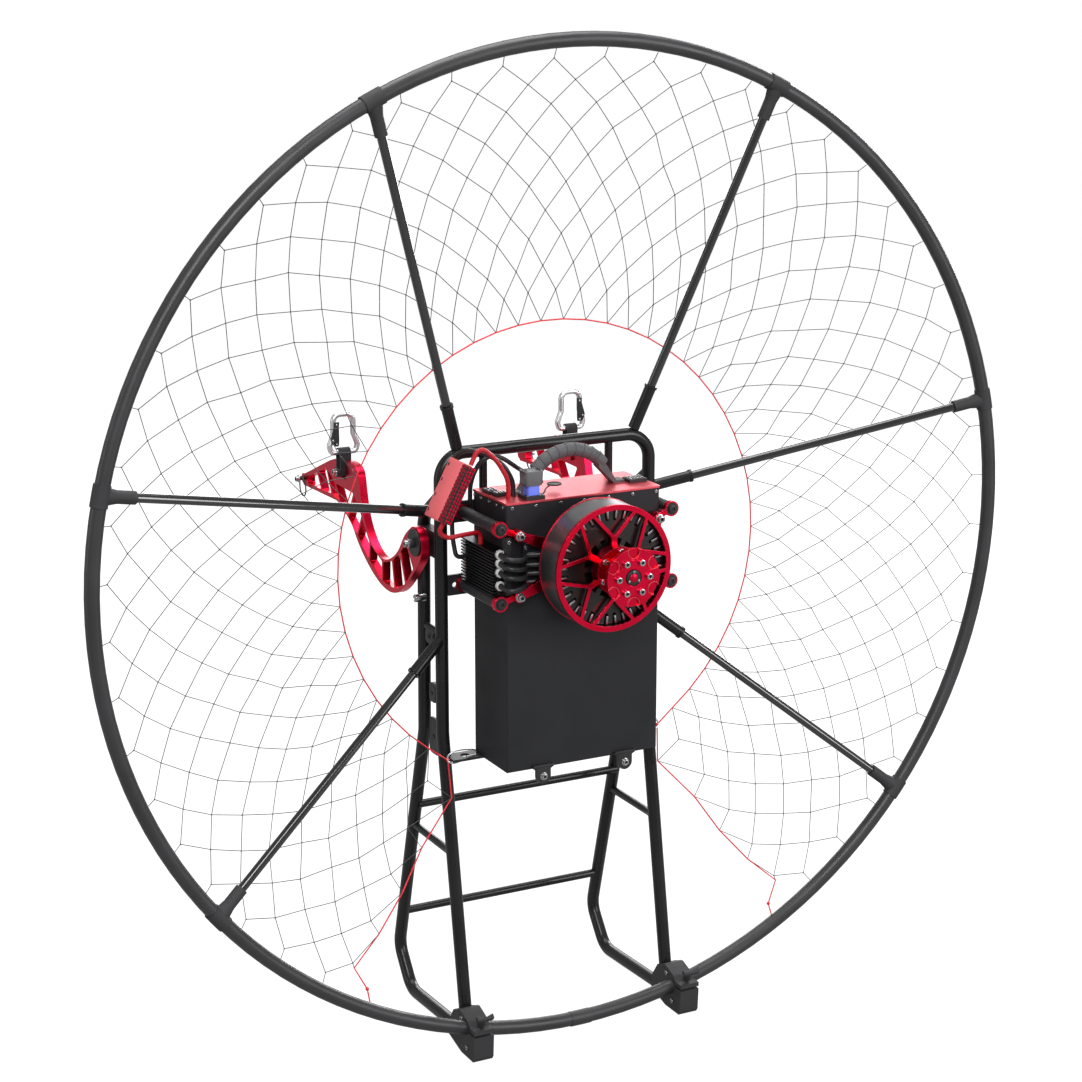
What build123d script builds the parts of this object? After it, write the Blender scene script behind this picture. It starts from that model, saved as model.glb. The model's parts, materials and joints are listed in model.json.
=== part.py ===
"""Electric paramotor: hoop cage, tube chassis, battery, outrunner motor and swing arms.

Millimetres. +Z is up, +Y is the flight direction and +X is the pilot's right.
The origin is on the ground under the middle of the whole machine.
Depths (y) below are measured forwards from the plane of the hoop, which stands at Y = HOOP_Y.
"""

from build123d import *
from math import atan2, cos, degrees, hypot, radians, sin, tan
import os

os.makedirs("parts", exist_ok=True)

# ---------------------------------------------------------------- sizes
# hoop cage
HOOP_RADIUS = 750.0          # centreline of the hoop
HOOP_TUBE = 22.0             # outside diameter of the hoop tube
HOOP_CENTRE_Z = 771.0        # height of the hoop's centre and of the motor axis
HOOP_SEGMENTS = 7            # curved tubes that plug together
BUTT_GAP = 1.0               # between two tube ends inside a fitting
FIT_GAP = 0.1                # a sleeve around its tube
SADDLE_WALL = 1.6
SADDLE_ARC = 2.4             # degrees of hoop that a fitting wraps
BARREL_LENGTH = 42.0         # stem of a fitting, from the hoop tube inwards
BARREL_DIAMETER = 19.0
FLARE_LENGTH = 14.0          # where the stem widens into the saddle
JOINT_BAND_ARC = 2.6         # degrees, plain joint at the bottom
SPAR_DIAMETER = 13.5
SPAR_INSERT = 18.0           # length of spar held inside each socket
SLEEVE_DIAMETER = 18.0
SLEEVE_LENGTH = 62.0
SLEEVE_COLLAR = 1.2          # the sleeve's mouth stands out by this much

# chassis tubes
TUBE = 20.0
PACK_ROOM = 49.3             # beside the battery, out to the middle of a side frame
REAR_Y = 112.0               # plane of the rear uprights
TOP_BAR_Z = 917.0
TOP_BEND = 40.0
KNEE_Z = 482.0               # where the rear leg starts to lean
SPLIT_Z = 569.0              # joint between upright and rear leg
SPLIT_GAP = 0.4
ANKLE_Y = 38.0               # foot of the rear leg
ANKLE_Z = 44.0
FRONT_Y = 172.0              # upper run of the front leg
FRONT_TOP_Z = 812.0
FRONT_KNEE_Z = 470.0
SHIN_Y = 272.0
SHIN_Z = 110.0
TOE_Z = TUBE / 2
HEEL_Y = 56.0
HEEL_Z = 17.0
CROSS_TUBE = 13.0
UPPER_CROSS_Z = 337.0
LOWER_CROSS_Z = 134.0
BRACE_Z = 298.0
BRACE_TUBE = 12.0
RAIL_X = 107.0               # inner verticals behind the battery
RAIL_TUBE = 12.5
RAIL_FOOT_Z = 452.0

# battery
PACK_WIDTH = 257.4
PACK_DEPTH = 110.0
PACK_HEIGHT = 410.0
PACK_BACK_Y = -8.0           # rear face of the battery
PACK_FLOOR_Z = 449.0
PACK_CORNER = 3.0
LID_THICKNESS = 3.0
LID_LIP = 1.0
SHELF_THICKNESS = 4.0
SHELF_SETBACK = 8.0          # the tray stops short of the battery's rear face
SHELF_INSET = 4.0
SHELF_WING = 32.0            # strip that reaches out to both rear legs
SHELF_WING_Y = 94.0
SHELF_HOLE_INSET = 28.0      # from a rear leg's centre to the hole beside it

# motor
STANDOFF_ROOM = 5.3          # between the battery's side and a standoff
STANDOFF_RISE = 56.0         # above and below the motor axis
STANDOFF_DIAMETER = 19.0
COLLAR_DIAMETER = 23.5
COLLAR_LENGTH = 8.0
STANDOFF_BACK_Y = -20.0      # rear face of the rear collars
PLATE_THICKNESS = 5.0
EYE_X = 117.0
EYE_RISE = 46.0
EYE_DIAMETER = 17.0
CRADLE_THICKNESS = 9.0
BELL_RADIUS = 95.0
BELL_WALL = 3.5
BELL_FRONT_Y = -48.0
BELL_BACK_Y = -101.0
RIM_WIDTH = 8.0
WHEEL_THICKNESS = 5.0
SPOKES = 6
FORK_HALF_ANGLE = 23.0       # where the two prongs of a spoke meet the rim
FORK_RADIUS = 45.0
PRONG_WIDTH = 5.0
HUB_RADIUS = 36.0
HUB_BACK_Y = -117.0
FLANGE_RADIUS = 43.0
FLANGE_BACK_Y = -158.0
FLANGE_THICKNESS = 9.0
FLANGE_NECK = 21.0
FLANGE_PCD = 50.0
FLANGE_SCREW = 6.0
FLANGE_MOUTH = 13.0          # recess round the shaft's end
FLANGE_SINK = 3.0
POCKET_RADIUS = 9.5          # shallow scallops between the screws
POCKET_OUTSET = 10.5
POCKET_DEPTH = 2.5
SHAFT_DIAMETER = 20.0
RUNNING_GAP = 0.1
MAGNET_ROOM = 5.5            # from the can's wall to the stator's teeth
STATOR_TEETH = 36
STATOR_FRONT_Y = -50.0
STATOR_BACK_Y = -90.0

# controller
SINK_DEPTH = 23.0
SINK_ROOM = 0.3              # between the battery's side and the heat sink
SINK_GAP = 0.5               # above the lower standoffs
SINK_HEIGHT = 70.0
SINK_FINS = 15
SINK_FIN_DEPTH = 8.0

# swing arms
ARM_GAP = 6.0                # between the upright tube and the arm
ARM_THICKNESS = 13.0
PIVOT_Y = 142.0
PIVOT_Z = 779.0
PIVOT_RING = 24.5
PIVOT_PIN = 12.0
PIVOT_DISC = 21.0
RIB = 5.0                    # between two windows of the arm
WINDOW_CORNER = 2.5
# corners of the arm's windows from tip to pivot, along its hollow and along its round edge
ARM_TOP = [
    (566, 793), (522, 811), (482, 826), (448, 808), (372, 806), (342, 774), (312, 739), (264, 720), (226, 731),
    (196, 752), (172, 772),
]
ARM_LOW = [
    (566, 784), (505, 785), (462, 787), (428, 781), (397, 764), (361, 742), (315, 712), (266, 689), (218, 689),
    (178, 706), (148, 738),
]
ARM_TIP_Y = 592.0
TIP_Z = 788.0
TIP_BOSS = 8.5
STRAP_Y = 418.0
STRAP_WIDTH = 19.0
STRAP_PIN = 10.0
STRAP_PIN_Z = 832.8
HOOK_BAR = 9.2               # bar of the carrying hook
HOOK_BEND = 6.0
HOOK_TOP_BEND = 12.0

# feet
FOOT_OFFSET = 3.0            # outwards of the side frame
FOOT_WIDTH = 33.0

SCREW_HEAD = 5.0
HOOP_Y = (SCREW_HEAD - FLANGE_BACK_Y - ARM_TIP_Y) / 2
HOOP_AXIS = Axis((0, HOOP_Y, HOOP_CENTRE_Z), (0, 1, 0))
SEGMENT_ANGLE = 360 / HOOP_SEGMENTS
BUTT_ANGLE = degrees(BUTT_GAP / HOOP_RADIUS)
FITTING_ANGLES = [SEGMENT_ANGLE * (k + 0.5) for k in range(HOOP_SEGMENTS)]
SPAR_ANGLES = [a for a in FITTING_ANGLES if abs(a - 180) > 1]
PACK_MID_Y = PACK_BACK_Y + PACK_DEPTH / 2
PACK_TOP_Z = PACK_FLOOR_Z + PACK_HEIGHT
TRACK = PACK_WIDTH / 2 + PACK_ROOM   # half the distance between the two side frames
SHELF_HOLE_X = TRACK - SHELF_HOLE_INSET
STANDOFF_X = PACK_WIDTH / 2 + STANDOFF_ROOM + STANDOFF_DIAMETER / 2
SINK_IN_X = PACK_WIDTH / 2 + SINK_ROOM
SINK_OUT_X = SINK_IN_X + SINK_DEPTH
SINK_FLOOR_Z = HOOP_CENTRE_Z - STANDOFF_RISE + STANDOFF_DIAMETER / 2 + SINK_GAP
ARM_INNER_X = TRACK + TUBE / 2 + ARM_GAP
FOOT_X = TRACK + FOOT_OFFSET
STANDOFF_FRONT_Y = REAR_Y - PLATE_THICKNESS / 2
STATOR_RADIUS = BELL_RADIUS - BELL_WALL - MAGNET_ROOM
EYE_SPOTS = [(sx * EYE_X, sz * EYE_RISE) for sx in (-1, 1) for sz in (-1, 1)]
STANDOFF_SPOTS = [(sx * STANDOFF_X, sz * STANDOFF_RISE) for sx in (-1, 1) for sz in (-1, 1)]


def at(x, y, z):
    """Point given by its depth forwards of the hoop."""
    return Vector(x, HOOP_Y + y, z)


def side(x):
    """Plane across the part at x; local axes are Y and Z."""
    return Plane(origin=at(x, 0, 0), x_dir=(0, 1, 0), z_dir=(1, 0, 0))


def back(y):
    """Plane facing the rear at depth y; local axes are X and Z."""
    return Plane(origin=at(0, y, 0), x_dir=(1, 0, 0), z_dir=(0, -1, 0))


def level(z):
    """Horizontal plane at height z; local axes are X and Y."""
    return Plane(origin=at(0, 0, z), x_dir=(1, 0, 0), z_dir=(0, 0, 1))


def motor(y):
    """Plane facing the rear at depth y with its origin on the motor axis."""
    return Plane(origin=at(0, y, HOOP_CENTRE_Z), x_dir=(1, 0, 0), z_dir=(0, -1, 0))


def on_hoop(angle, radius=HOOP_RADIUS):
    """Point of the hoop plane, the angle counted clockwise from the top seen from the rear."""
    a = radians(angle)
    return at(radius * sin(a), 0, HOOP_CENTRE_Z + radius * cos(a))


def along(start, end):
    """Plane at start whose normal runs to end."""
    return Plane(origin=start, z_dir=Vector(*end) - Vector(*start))


def hoop_section(angle):
    """Plane square across the hoop tube."""
    a = radians(angle)
    return Plane(origin=on_hoop(angle), x_dir=(sin(a), 0, cos(a)), z_dir=(cos(a), 0, -sin(a)))


def spar_root(angle):
    """Inner end of a spar's centreline, where its sleeve meets the chassis."""
    s = 1 if angle < 180 else -1
    rank = min(angle, 360 - angle)
    if rank < 45:
        return at(s * 151, REAR_Y, 926)
    if rank < 100:
        return at(s * TRACK, REAR_Y, 830)
    return at(s * TRACK, REAR_Y, 634)


def spar_run(angle):
    """Unit vector along a spar, from chassis to hoop."""
    return (on_hoop(angle) - spar_root(angle)).normalized()


def bends(points):
    """The largest even radius that fits each corner of a cable's route."""
    radii = []
    for before, corner, after in zip(points, points[1:], points[2:]):
        come = Vector(*corner) - Vector(*before)
        leave = Vector(*after) - Vector(*corner)
        turn = radians(come.get_angle(leave))
        radii.append(0.45 * min(come.length, leave.length) / tan(turn / 2))
    return radii


# ---------------------------------------------------------------- hoop cage
with BuildPart() as hoop_tubes:
    for angle in FITTING_ANGLES:
        with BuildSketch(hoop_section(angle + BUTT_ANGLE / 2)):
            Circle(HOOP_TUBE / 2)
        revolve(axis=HOOP_AXIS, revolution_arc=SEGMENT_ANGLE - BUTT_ANGLE)
hoop_tubes.part.label = "hoop_tubes"
export_step(hoop_tubes.part, "parts/hoop_tubes.step")

with BuildPart() as hoop_fittings:
    for angle in SPAR_ANGLES:
        with BuildSketch(hoop_section(angle - SADDLE_ARC / 2)):
            Circle(HOOP_TUBE / 2 + SADDLE_WALL)
        revolve(axis=HOOP_AXIS, revolution_arc=SADDLE_ARC)
        stem = on_hoop(angle) - spar_run(angle) * (HOOP_TUBE / 2 + BARREL_LENGTH)
        with BuildSketch(along(stem, on_hoop(angle))):
            Circle(BARREL_DIAMETER / 2)
        extrude(amount=HOOP_TUBE / 2 + BARREL_LENGTH)
        inward = -spar_run(angle)
        across = inward.cross(Vector(0, 1, 0))
        with BuildSketch(Plane(origin=on_hoop(angle), x_dir=across, z_dir=inward)):
            Ellipse(HOOP_RADIUS * radians(SADDLE_ARC) / 2 - 1, HOOP_TUBE / 2 + SADDLE_WALL - 1)
        with BuildSketch(Plane(origin=on_hoop(angle) + inward * (HOOP_TUBE / 2 + FLARE_LENGTH), x_dir=across, z_dir=inward)):
            Circle(BARREL_DIAMETER / 2)
        loft()
    with BuildSketch(hoop_section(0)):
        Circle(HOOP_TUBE / 2 + FIT_GAP)
    revolve(axis=HOOP_AXIS, revolution_arc=360, mode=Mode.SUBTRACT)
    for angle in SPAR_ANGLES:
        stem = on_hoop(angle) - spar_run(angle) * (HOOP_TUBE / 2 + BARREL_LENGTH)
        with BuildSketch(along(stem, on_hoop(angle))):
            Circle(SPAR_DIAMETER / 2 + FIT_GAP)
        extrude(amount=SPAR_INSERT, mode=Mode.SUBTRACT)
hoop_fittings.part.label = "hoop_fittings"
export_step(hoop_fittings.part, "parts/hoop_fittings.step")

with BuildPart() as hoop_joint:
    with BuildSketch(hoop_section(180 - JOINT_BAND_ARC / 2)):
        Circle(HOOP_TUBE / 2 + SADDLE_WALL / 2)
        Circle(HOOP_TUBE / 2 + FIT_GAP, mode=Mode.SUBTRACT)
    revolve(axis=HOOP_AXIS, revolution_arc=JOINT_BAND_ARC)
hoop_joint.part.label = "hoop_joint"
export_step(hoop_joint.part, "parts/hoop_joint.step")

with BuildPart() as spars:
    for angle in SPAR_ANGLES:
        run = spar_run(angle)
        first = spar_root(angle) + run * (TUBE / 2 + SLEEVE_LENGTH - SPAR_INSERT)
        last = on_hoop(angle) - run * (HOOP_TUBE / 2 + BARREL_LENGTH - SPAR_INSERT + FIT_GAP)
        with BuildSketch(along(first, last)):
            Circle(SPAR_DIAMETER / 2)
        extrude(amount=(last - first).length)
spars.part.label = "spars"
export_step(spars.part, "parts/spars.step")

# ---------------------------------------------------------------- chassis
with BuildPart() as upper_frame:
    with BuildLine(back(REAR_Y)) as arch:
        FilletPolyline(
            (-TRACK, SPLIT_Z + SPLIT_GAP),
            (-TRACK, TOP_BAR_Z),
            (TRACK, TOP_BAR_Z),
            (TRACK, SPLIT_Z + SPLIT_GAP),
            radius=TOP_BEND,
        )
    with BuildSketch(Plane(origin=arch.line @ 0, z_dir=arch.line % 0)):
        Circle(TUBE / 2)
    sweep(path=arch.line)
upper_frame.part.label = "upper_frame"
export_step(upper_frame.part, "parts/upper_frame.step")

with BuildPart() as rear_legs:
    for x in (-TRACK, TRACK):
        with BuildLine(side(x)) as shank:
            FilletPolyline((REAR_Y, SPLIT_Z), (REAR_Y, KNEE_Z), (ANKLE_Y, ANKLE_Z), radius=90)
        with BuildSketch(Plane(origin=shank.line @ 0, z_dir=shank.line % 0)):
            Circle(TUBE / 2)
        sweep(path=shank.line)
rear_legs.part.label = "rear_legs"
export_step(rear_legs.part, "parts/rear_legs.step")

with BuildPart() as front_legs:
    for x in (-TRACK, TRACK):
        with BuildLine(side(x)) as loop:
            FilletPolyline(
                (REAR_Y, FRONT_TOP_Z + 42),
                (FRONT_Y, FRONT_TOP_Z),
                (FRONT_Y + 6, FRONT_KNEE_Z),
                (SHIN_Y + 14, SHIN_Z - 40),
                (SHIN_Y - 32, TOE_Z - 0.7),
                (HEEL_Y, HEEL_Z),
                radius=38,
            )
        with BuildSketch(Plane(origin=loop.line @ 0, z_dir=loop.line % 0)):
            Circle(TUBE / 2)
        sweep(path=loop.line)
    add(upper_frame.part, mode=Mode.SUBTRACT)
front_legs.part.label = "front_legs"
export_step(front_legs.part, "parts/front_legs.step")

with BuildPart() as crossbars:
    for y, z in ((206, UPPER_CROSS_Z), (268, LOWER_CROSS_Z)):
        with BuildSketch(side(-TRACK)):
            with Locations((y, z)):
                Circle(CROSS_TUBE / 2)
        extrude(amount=2 * TRACK)
    add(front_legs.part, mode=Mode.SUBTRACT)
    add(upper_frame.part, mode=Mode.SUBTRACT)
crossbars_kept = crossbars.part.solids().sort_by(SortBy.VOLUME)[-2:]
with BuildPart() as crossbars:
    add(crossbars_kept)
crossbars.part.label = "crossbars"
export_step(crossbars.part, "parts/crossbars.step")

with BuildPart() as side_braces:
    for x in (-TRACK, TRACK):
        for rear, front in (((REAR_Y, BRACE_Z), (224, BRACE_Z)), ((REAR_Y, 640), (FRONT_Y + 2, 640))):
            with BuildSketch(along(at(x, *rear), at(x, *front))):
                Circle(BRACE_TUBE / 2)
            extrude(amount=hypot(front[0] - rear[0], front[1] - rear[1]))
    add(front_legs.part, mode=Mode.SUBTRACT)
    add(rear_legs.part, mode=Mode.SUBTRACT)
    add(upper_frame.part, mode=Mode.SUBTRACT)
braces_kept = [s for s in side_braces.part.solids() if s.volume > 2000]
with BuildPart() as side_braces:
    add(braces_kept)
side_braces.part.label = "side_braces"
export_step(side_braces.part, "parts/side_braces.step")

with BuildPart() as battery_rails:
    for x in (-RAIL_X, RAIL_X):
        with BuildSketch(level(RAIL_FOOT_Z)):
            with Locations((x, REAR_Y)):
                Circle(RAIL_TUBE / 2)
        extrude(amount=TOP_BAR_Z - RAIL_FOOT_Z)
    add(upper_frame.part, mode=Mode.SUBTRACT)
battery_rails.part.label = "battery_rails"
export_step(battery_rails.part, "parts/battery_rails.step")

with BuildPart() as cross_plates:
    for sx in (-1, 1):
        for sz in (-1, 1):
            with BuildSketch(back(REAR_Y + PLATE_THICKNESS / 2)):
                with Locations((sx * (RAIL_X + TRACK) / 2, HOOP_CENTRE_Z + sz * STANDOFF_RISE)):
                    Rectangle(TRACK - RAIL_X, 32)
                    with Locations((sx * 14, 0)):
                        Circle(4, mode=Mode.SUBTRACT)
                with Locations((sx * STANDOFF_X, HOOP_CENTRE_Z + sz * STANDOFF_RISE)):
                    Circle(3.2, mode=Mode.SUBTRACT)
            extrude(amount=PLATE_THICKNESS)
    add(upper_frame.part, mode=Mode.SUBTRACT)
    add(battery_rails.part, mode=Mode.SUBTRACT)
plates_kept = [s for s in cross_plates.part.solids() if s.volume > 1500]
with BuildPart() as cross_plates:
    add(plates_kept)
cross_plates.part.label = "cross_plates"
export_step(cross_plates.part, "parts/cross_plates.step")

# ---------------------------------------------------------------- battery
with BuildPart() as battery_shelf:
    with BuildSketch(level(PACK_FLOOR_Z - SHELF_THICKNESS)):
        with Locations((0, PACK_MID_Y + SHELF_SETBACK / 2)):
            Rectangle(PACK_WIDTH - 2 * SHELF_INSET, PACK_DEPTH - SHELF_SETBACK)
        with Locations((0, SHELF_WING_Y)):
            Rectangle(2 * TRACK - 4, SHELF_WING)
        with Locations((-SHELF_HOLE_X, SHELF_WING_Y), (SHELF_HOLE_X, SHELF_WING_Y)):
            Circle(7, mode=Mode.SUBTRACT)
    extrude(amount=SHELF_THICKNESS)
    for x in (-70, 70):
        with BuildSketch(back(PACK_BACK_Y)):
            with Locations((x, PACK_FLOOR_Z - 13)):
                Circle(12)
            with Locations((x, PACK_FLOOR_Z - 6.5)):
                Rectangle(24, 13)
        extrude(amount=6)
        with BuildSketch(level(PACK_FLOOR_Z - SHELF_THICKNESS)):
            with Locations((x, 6)):
                Rectangle(24, 38)
        extrude(amount=SHELF_THICKNESS)
    add(rear_legs.part, mode=Mode.SUBTRACT)
    add(upper_frame.part, mode=Mode.SUBTRACT)
battery_shelf.part.label = "battery_shelf"
export_step(battery_shelf.part, "parts/battery_shelf.step")

with BuildPart() as battery_case:
    with BuildSketch(level(PACK_FLOOR_Z)):
        with Locations((0, PACK_MID_Y)):
            RectangleRounded(PACK_WIDTH, PACK_DEPTH, PACK_CORNER)
    extrude(amount=PACK_HEIGHT)
    with BuildSketch(level(RAIL_FOOT_Z)):
        with Locations((-RAIL_X, REAR_Y), (RAIL_X, REAR_Y)):
            Circle(RAIL_TUBE / 2 + 0.5)
    extrude(amount=TOP_BAR_Z - RAIL_FOOT_Z, mode=Mode.SUBTRACT)
battery_case.part.label = "battery_case"
export_step(battery_case.part, "parts/battery_case.step")

with BuildPart() as battery_lid:
    with BuildSketch(level(PACK_TOP_Z)):
        with Locations((0, PACK_MID_Y)):
            RectangleRounded(PACK_WIDTH + 2 * LID_LIP, PACK_DEPTH + 2 * LID_LIP, PACK_CORNER)
        with Locations((-RAIL_X, REAR_Y), (RAIL_X, REAR_Y)):
            Circle(RAIL_TUBE / 2 + 0.5, mode=Mode.SUBTRACT)
    extrude(amount=LID_THICKNESS)
battery_lid.part.label = "battery_lid"
export_step(battery_lid.part, "parts/battery_lid.step")

LID_Z = PACK_TOP_Z + LID_THICKNESS
with BuildPart() as carry_handle:
    with BuildLine(back(PACK_MID_Y)) as grip_path:
        ThreePointArc((-52, LID_Z + 32), (5, LID_Z + 57), (60, LID_Z + 31))
    with BuildSketch(Plane(origin=grip_path.line @ 0, z_dir=grip_path.line % 0)):
        Circle(9.5)
    sweep(path=grip_path.line)
    for sx in (-1, 1):
        with BuildSketch(back(PACK_MID_Y + 9)):
            with BuildLine():
                Polyline(
                    (sx * 50, LID_Z + 34), (sx * 60, LID_Z + 34), (sx * 80, LID_Z + 4), (sx * 94, LID_Z + 4),
                    (sx * 94, LID_Z), (sx * 76, LID_Z), (sx * 50, LID_Z + 27), close=True,
                )
            make_face()
        extrude(amount=18)
carry_handle.part.label = "carry_handle"
export_step(carry_handle.part, "parts/carry_handle.step")

with BuildPart() as power_plug_base:
    with BuildSketch(level(LID_Z)):
        with Locations((-79, 9)):
            Rectangle(30, 30)
    extrude(amount=6)
power_plug_base.part.label = "power_plug_base"
export_step(power_plug_base.part, "parts/power_plug_base.step")

with BuildPart() as power_socket:
    with BuildSketch(level(LID_Z + 6)):
        with Locations((-79, 9)):
            RectangleRounded(20, 20, 4)
    extrude(amount=14)
power_socket.part.label = "power_socket"
export_step(power_socket.part, "parts/power_socket.step")

with BuildPart() as power_plug:
    with BuildSketch(level(LID_Z + 20)):
        with Locations((-79, 9)):
            RectangleRounded(30, 26, 6)
    extrude(amount=22)
    fillet(power_plug.faces().sort_by(Axis.Z)[-1].edges(), radius=4)
power_plug.part.label = "power_plug"
export_step(power_plug.part, "parts/power_plug.step")

with BuildPart() as lid_connectors:
    with BuildSketch(level(LID_Z)):
        with Locations((-118, 66)):
            Rectangle(16, 22)
        with Locations((-113, 43)):
            Rectangle(20, 14)
        with Locations((111, 37)):
            Rectangle(30, 24)
    extrude(amount=5)
lid_connectors.part.label = "lid_connectors"
export_step(lid_connectors.part, "parts/lid_connectors.step")

# ---------------------------------------------------------------- motor carrier
with BuildPart() as standoffs:
    with BuildSketch(motor(STANDOFF_FRONT_Y)):
        with Locations(*STANDOFF_SPOTS):
            Circle(STANDOFF_DIAMETER / 2)
    extrude(amount=STANDOFF_FRONT_Y - STANDOFF_BACK_Y)
    with BuildSketch(motor(STANDOFF_BACK_Y)):
        with Locations(*STANDOFF_SPOTS):
            Circle(4.5)
    extrude(amount=-6, mode=Mode.SUBTRACT)
standoffs.part.label = "standoffs"
export_step(standoffs.part, "parts/standoffs.step")

with BuildPart() as standoff_collars:
    with BuildSketch(motor(STANDOFF_FRONT_Y)):
        with Locations(*STANDOFF_SPOTS):
            Circle(COLLAR_DIAMETER / 2)
            Circle(STANDOFF_DIAMETER / 2 + FIT_GAP, mode=Mode.SUBTRACT)
    extrude(amount=4)
standoff_collars.part.label = "standoff_collars"
export_step(standoff_collars.part, "parts/standoff_collars.step")

with BuildPart() as corner_clamps:
    with BuildSketch(motor(STANDOFF_BACK_Y + COLLAR_LENGTH)):
        for sx, sz in [(a, b) for a in (-1, 1) for b in (-1, 1)]:
            post = Vector(sx * STANDOFF_X, sz * STANDOFF_RISE)
            eye = Vector(sx * EYE_X, sz * EYE_RISE)
            with Locations((post.X, post.Y)):
                Circle(COLLAR_DIAMETER / 2)
            with Locations((eye.X, eye.Y)):
                Circle(EYE_DIAMETER / 2)
            middle = (post + eye) / 2
            with Locations(Location((middle.X, middle.Y), degrees(atan2(eye.Y - post.Y, eye.X - post.X)))):
                Rectangle((post - eye).length, 9)
        with Locations(*STANDOFF_SPOTS):
            Circle(STANDOFF_DIAMETER / 2 + FIT_GAP, mode=Mode.SUBTRACT)
    extrude(amount=COLLAR_LENGTH)
corner_clamps.part.label = "corner_clamps"
export_step(corner_clamps.part, "parts/corner_clamps.step")

with BuildPart() as motor_cradle:
    with BuildSketch(motor(STANDOFF_BACK_Y)):
        Circle(40)
        for x, z in EYE_SPOTS:
            reach = hypot(x, z)
            with BuildLine():
                turn = atan2(z, x)
                flank = [(20, 13), (reach, 5.5), (reach, -5.5), (20, -13), (20, 13)]
                Polyline(*[(a * cos(turn) - b * sin(turn), a * sin(turn) + b * cos(turn)) for a, b in flank])
            make_face()
            with Locations((x, z)):
                Circle(EYE_DIAMETER / 2)
        Circle(SHAFT_DIAMETER / 2 + FIT_GAP, mode=Mode.SUBTRACT)
    extrude(amount=CRADLE_THICKNESS)
motor_cradle.part.label = "motor_cradle"
export_step(motor_cradle.part, "parts/motor_cradle.step")

with BuildPart() as cradle_bolts:
    with BuildSketch(motor(STANDOFF_BACK_Y - CRADLE_THICKNESS)):
        with Locations(*EYE_SPOTS):
            Circle(6.5)
    extrude(amount=1.6)
    with BuildSketch(motor(STANDOFF_BACK_Y - CRADLE_THICKNESS - 1.6)):
        with Locations(*EYE_SPOTS):
            RegularPolygon(5, 6)
    extrude(amount=5)
cradle_bolts.part.label = "cradle_bolts"
export_step(cradle_bolts.part, "parts/cradle_bolts.step")

with BuildPart() as motor_shaft:
    with BuildSketch(motor(STANDOFF_BACK_Y)):
        Circle(SHAFT_DIAMETER / 2)
    extrude(amount=STANDOFF_BACK_Y - FLANGE_BACK_Y - 6)
motor_shaft.part.label = "motor_shaft"
export_step(motor_shaft.part, "parts/motor_shaft.step")

with BuildPart() as stator:
    with BuildSketch(motor(STATOR_FRONT_Y)):
        Circle(STATOR_RADIUS - 16)
        with PolarLocations(STATOR_RADIUS - 9, STATOR_TEETH):
            Rectangle(18, 7.6)
        Circle(44, mode=Mode.SUBTRACT)
        with PolarLocations(30, 6):
            Rectangle(36, 8)
        Circle(16)
        Circle(SHAFT_DIAMETER / 2 + FIT_GAP, mode=Mode.SUBTRACT)
    extrude(amount=STATOR_FRONT_Y - STATOR_BACK_Y)
    with BuildSketch(motor(STANDOFF_BACK_Y - CRADLE_THICKNESS)):
        Circle(34)
        Circle(SHAFT_DIAMETER / 2 + FIT_GAP, mode=Mode.SUBTRACT)
    extrude(amount=STANDOFF_BACK_Y - CRADLE_THICKNESS - STATOR_FRONT_Y)
stator.part.label = "stator"
export_step(stator.part, "parts/stator.step")

# ---------------------------------------------------------------- rotor
with BuildPart() as rotor_can:
    with BuildSketch(motor(BELL_FRONT_Y)):
        Circle(BELL_RADIUS - 0.8)
        Circle(BELL_RADIUS - BELL_WALL, mode=Mode.SUBTRACT)
    extrude(amount=BELL_FRONT_Y - BELL_BACK_Y - WHEEL_THICKNESS)
rotor_can.part.label = "rotor_can"
export_step(rotor_can.part, "parts/rotor_can.step")

with BuildPart() as rotor_lip:
    with BuildSketch(motor(BELL_FRONT_Y + 2)):
        Circle(BELL_RADIUS)
        Circle(BELL_RADIUS - BELL_WALL, mode=Mode.SUBTRACT)
    extrude(amount=2)
rotor_lip.part.label = "rotor_lip"
export_step(rotor_lip.part, "parts/rotor_lip.step")

with BuildPart() as rotor_wheel:
    with BuildSketch(motor(BELL_BACK_Y + WHEEL_THICKNESS)):
        Circle(BELL_RADIUS)
        Circle(BELL_RADIUS - RIM_WIDTH, mode=Mode.SUBTRACT)
        Circle(HUB_RADIUS)
        rim_mid = BELL_RADIUS - RIM_WIDTH / 2
        for k in range(SPOKES):
            heading = radians(90 + 360 / SPOKES * k)
            fork = Vector(FORK_RADIUS * cos(heading), FORK_RADIUS * sin(heading))
            with Locations(Location((fork.X * 0.85, fork.Y * 0.85), degrees(heading))):
                Rectangle(FORK_RADIUS * 0.5, 9)
            for way in (-1, 1):
                meet = heading + way * radians(FORK_HALF_ANGLE)
                tip = Vector(rim_mid * cos(meet), rim_mid * sin(meet))
                prong = tip - fork
                middle = (tip + fork) / 2
                with Locations(Location((middle.X, middle.Y), degrees(atan2(prong.Y, prong.X)))):
                    Rectangle(prong.length, PRONG_WIDTH)
        Circle(SHAFT_DIAMETER / 2 + RUNNING_GAP, mode=Mode.SUBTRACT)
    extrude(amount=WHEEL_THICKNESS)
rotor_wheel.part.label = "rotor_wheel"
export_step(rotor_wheel.part, "parts/rotor_wheel.step")

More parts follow.
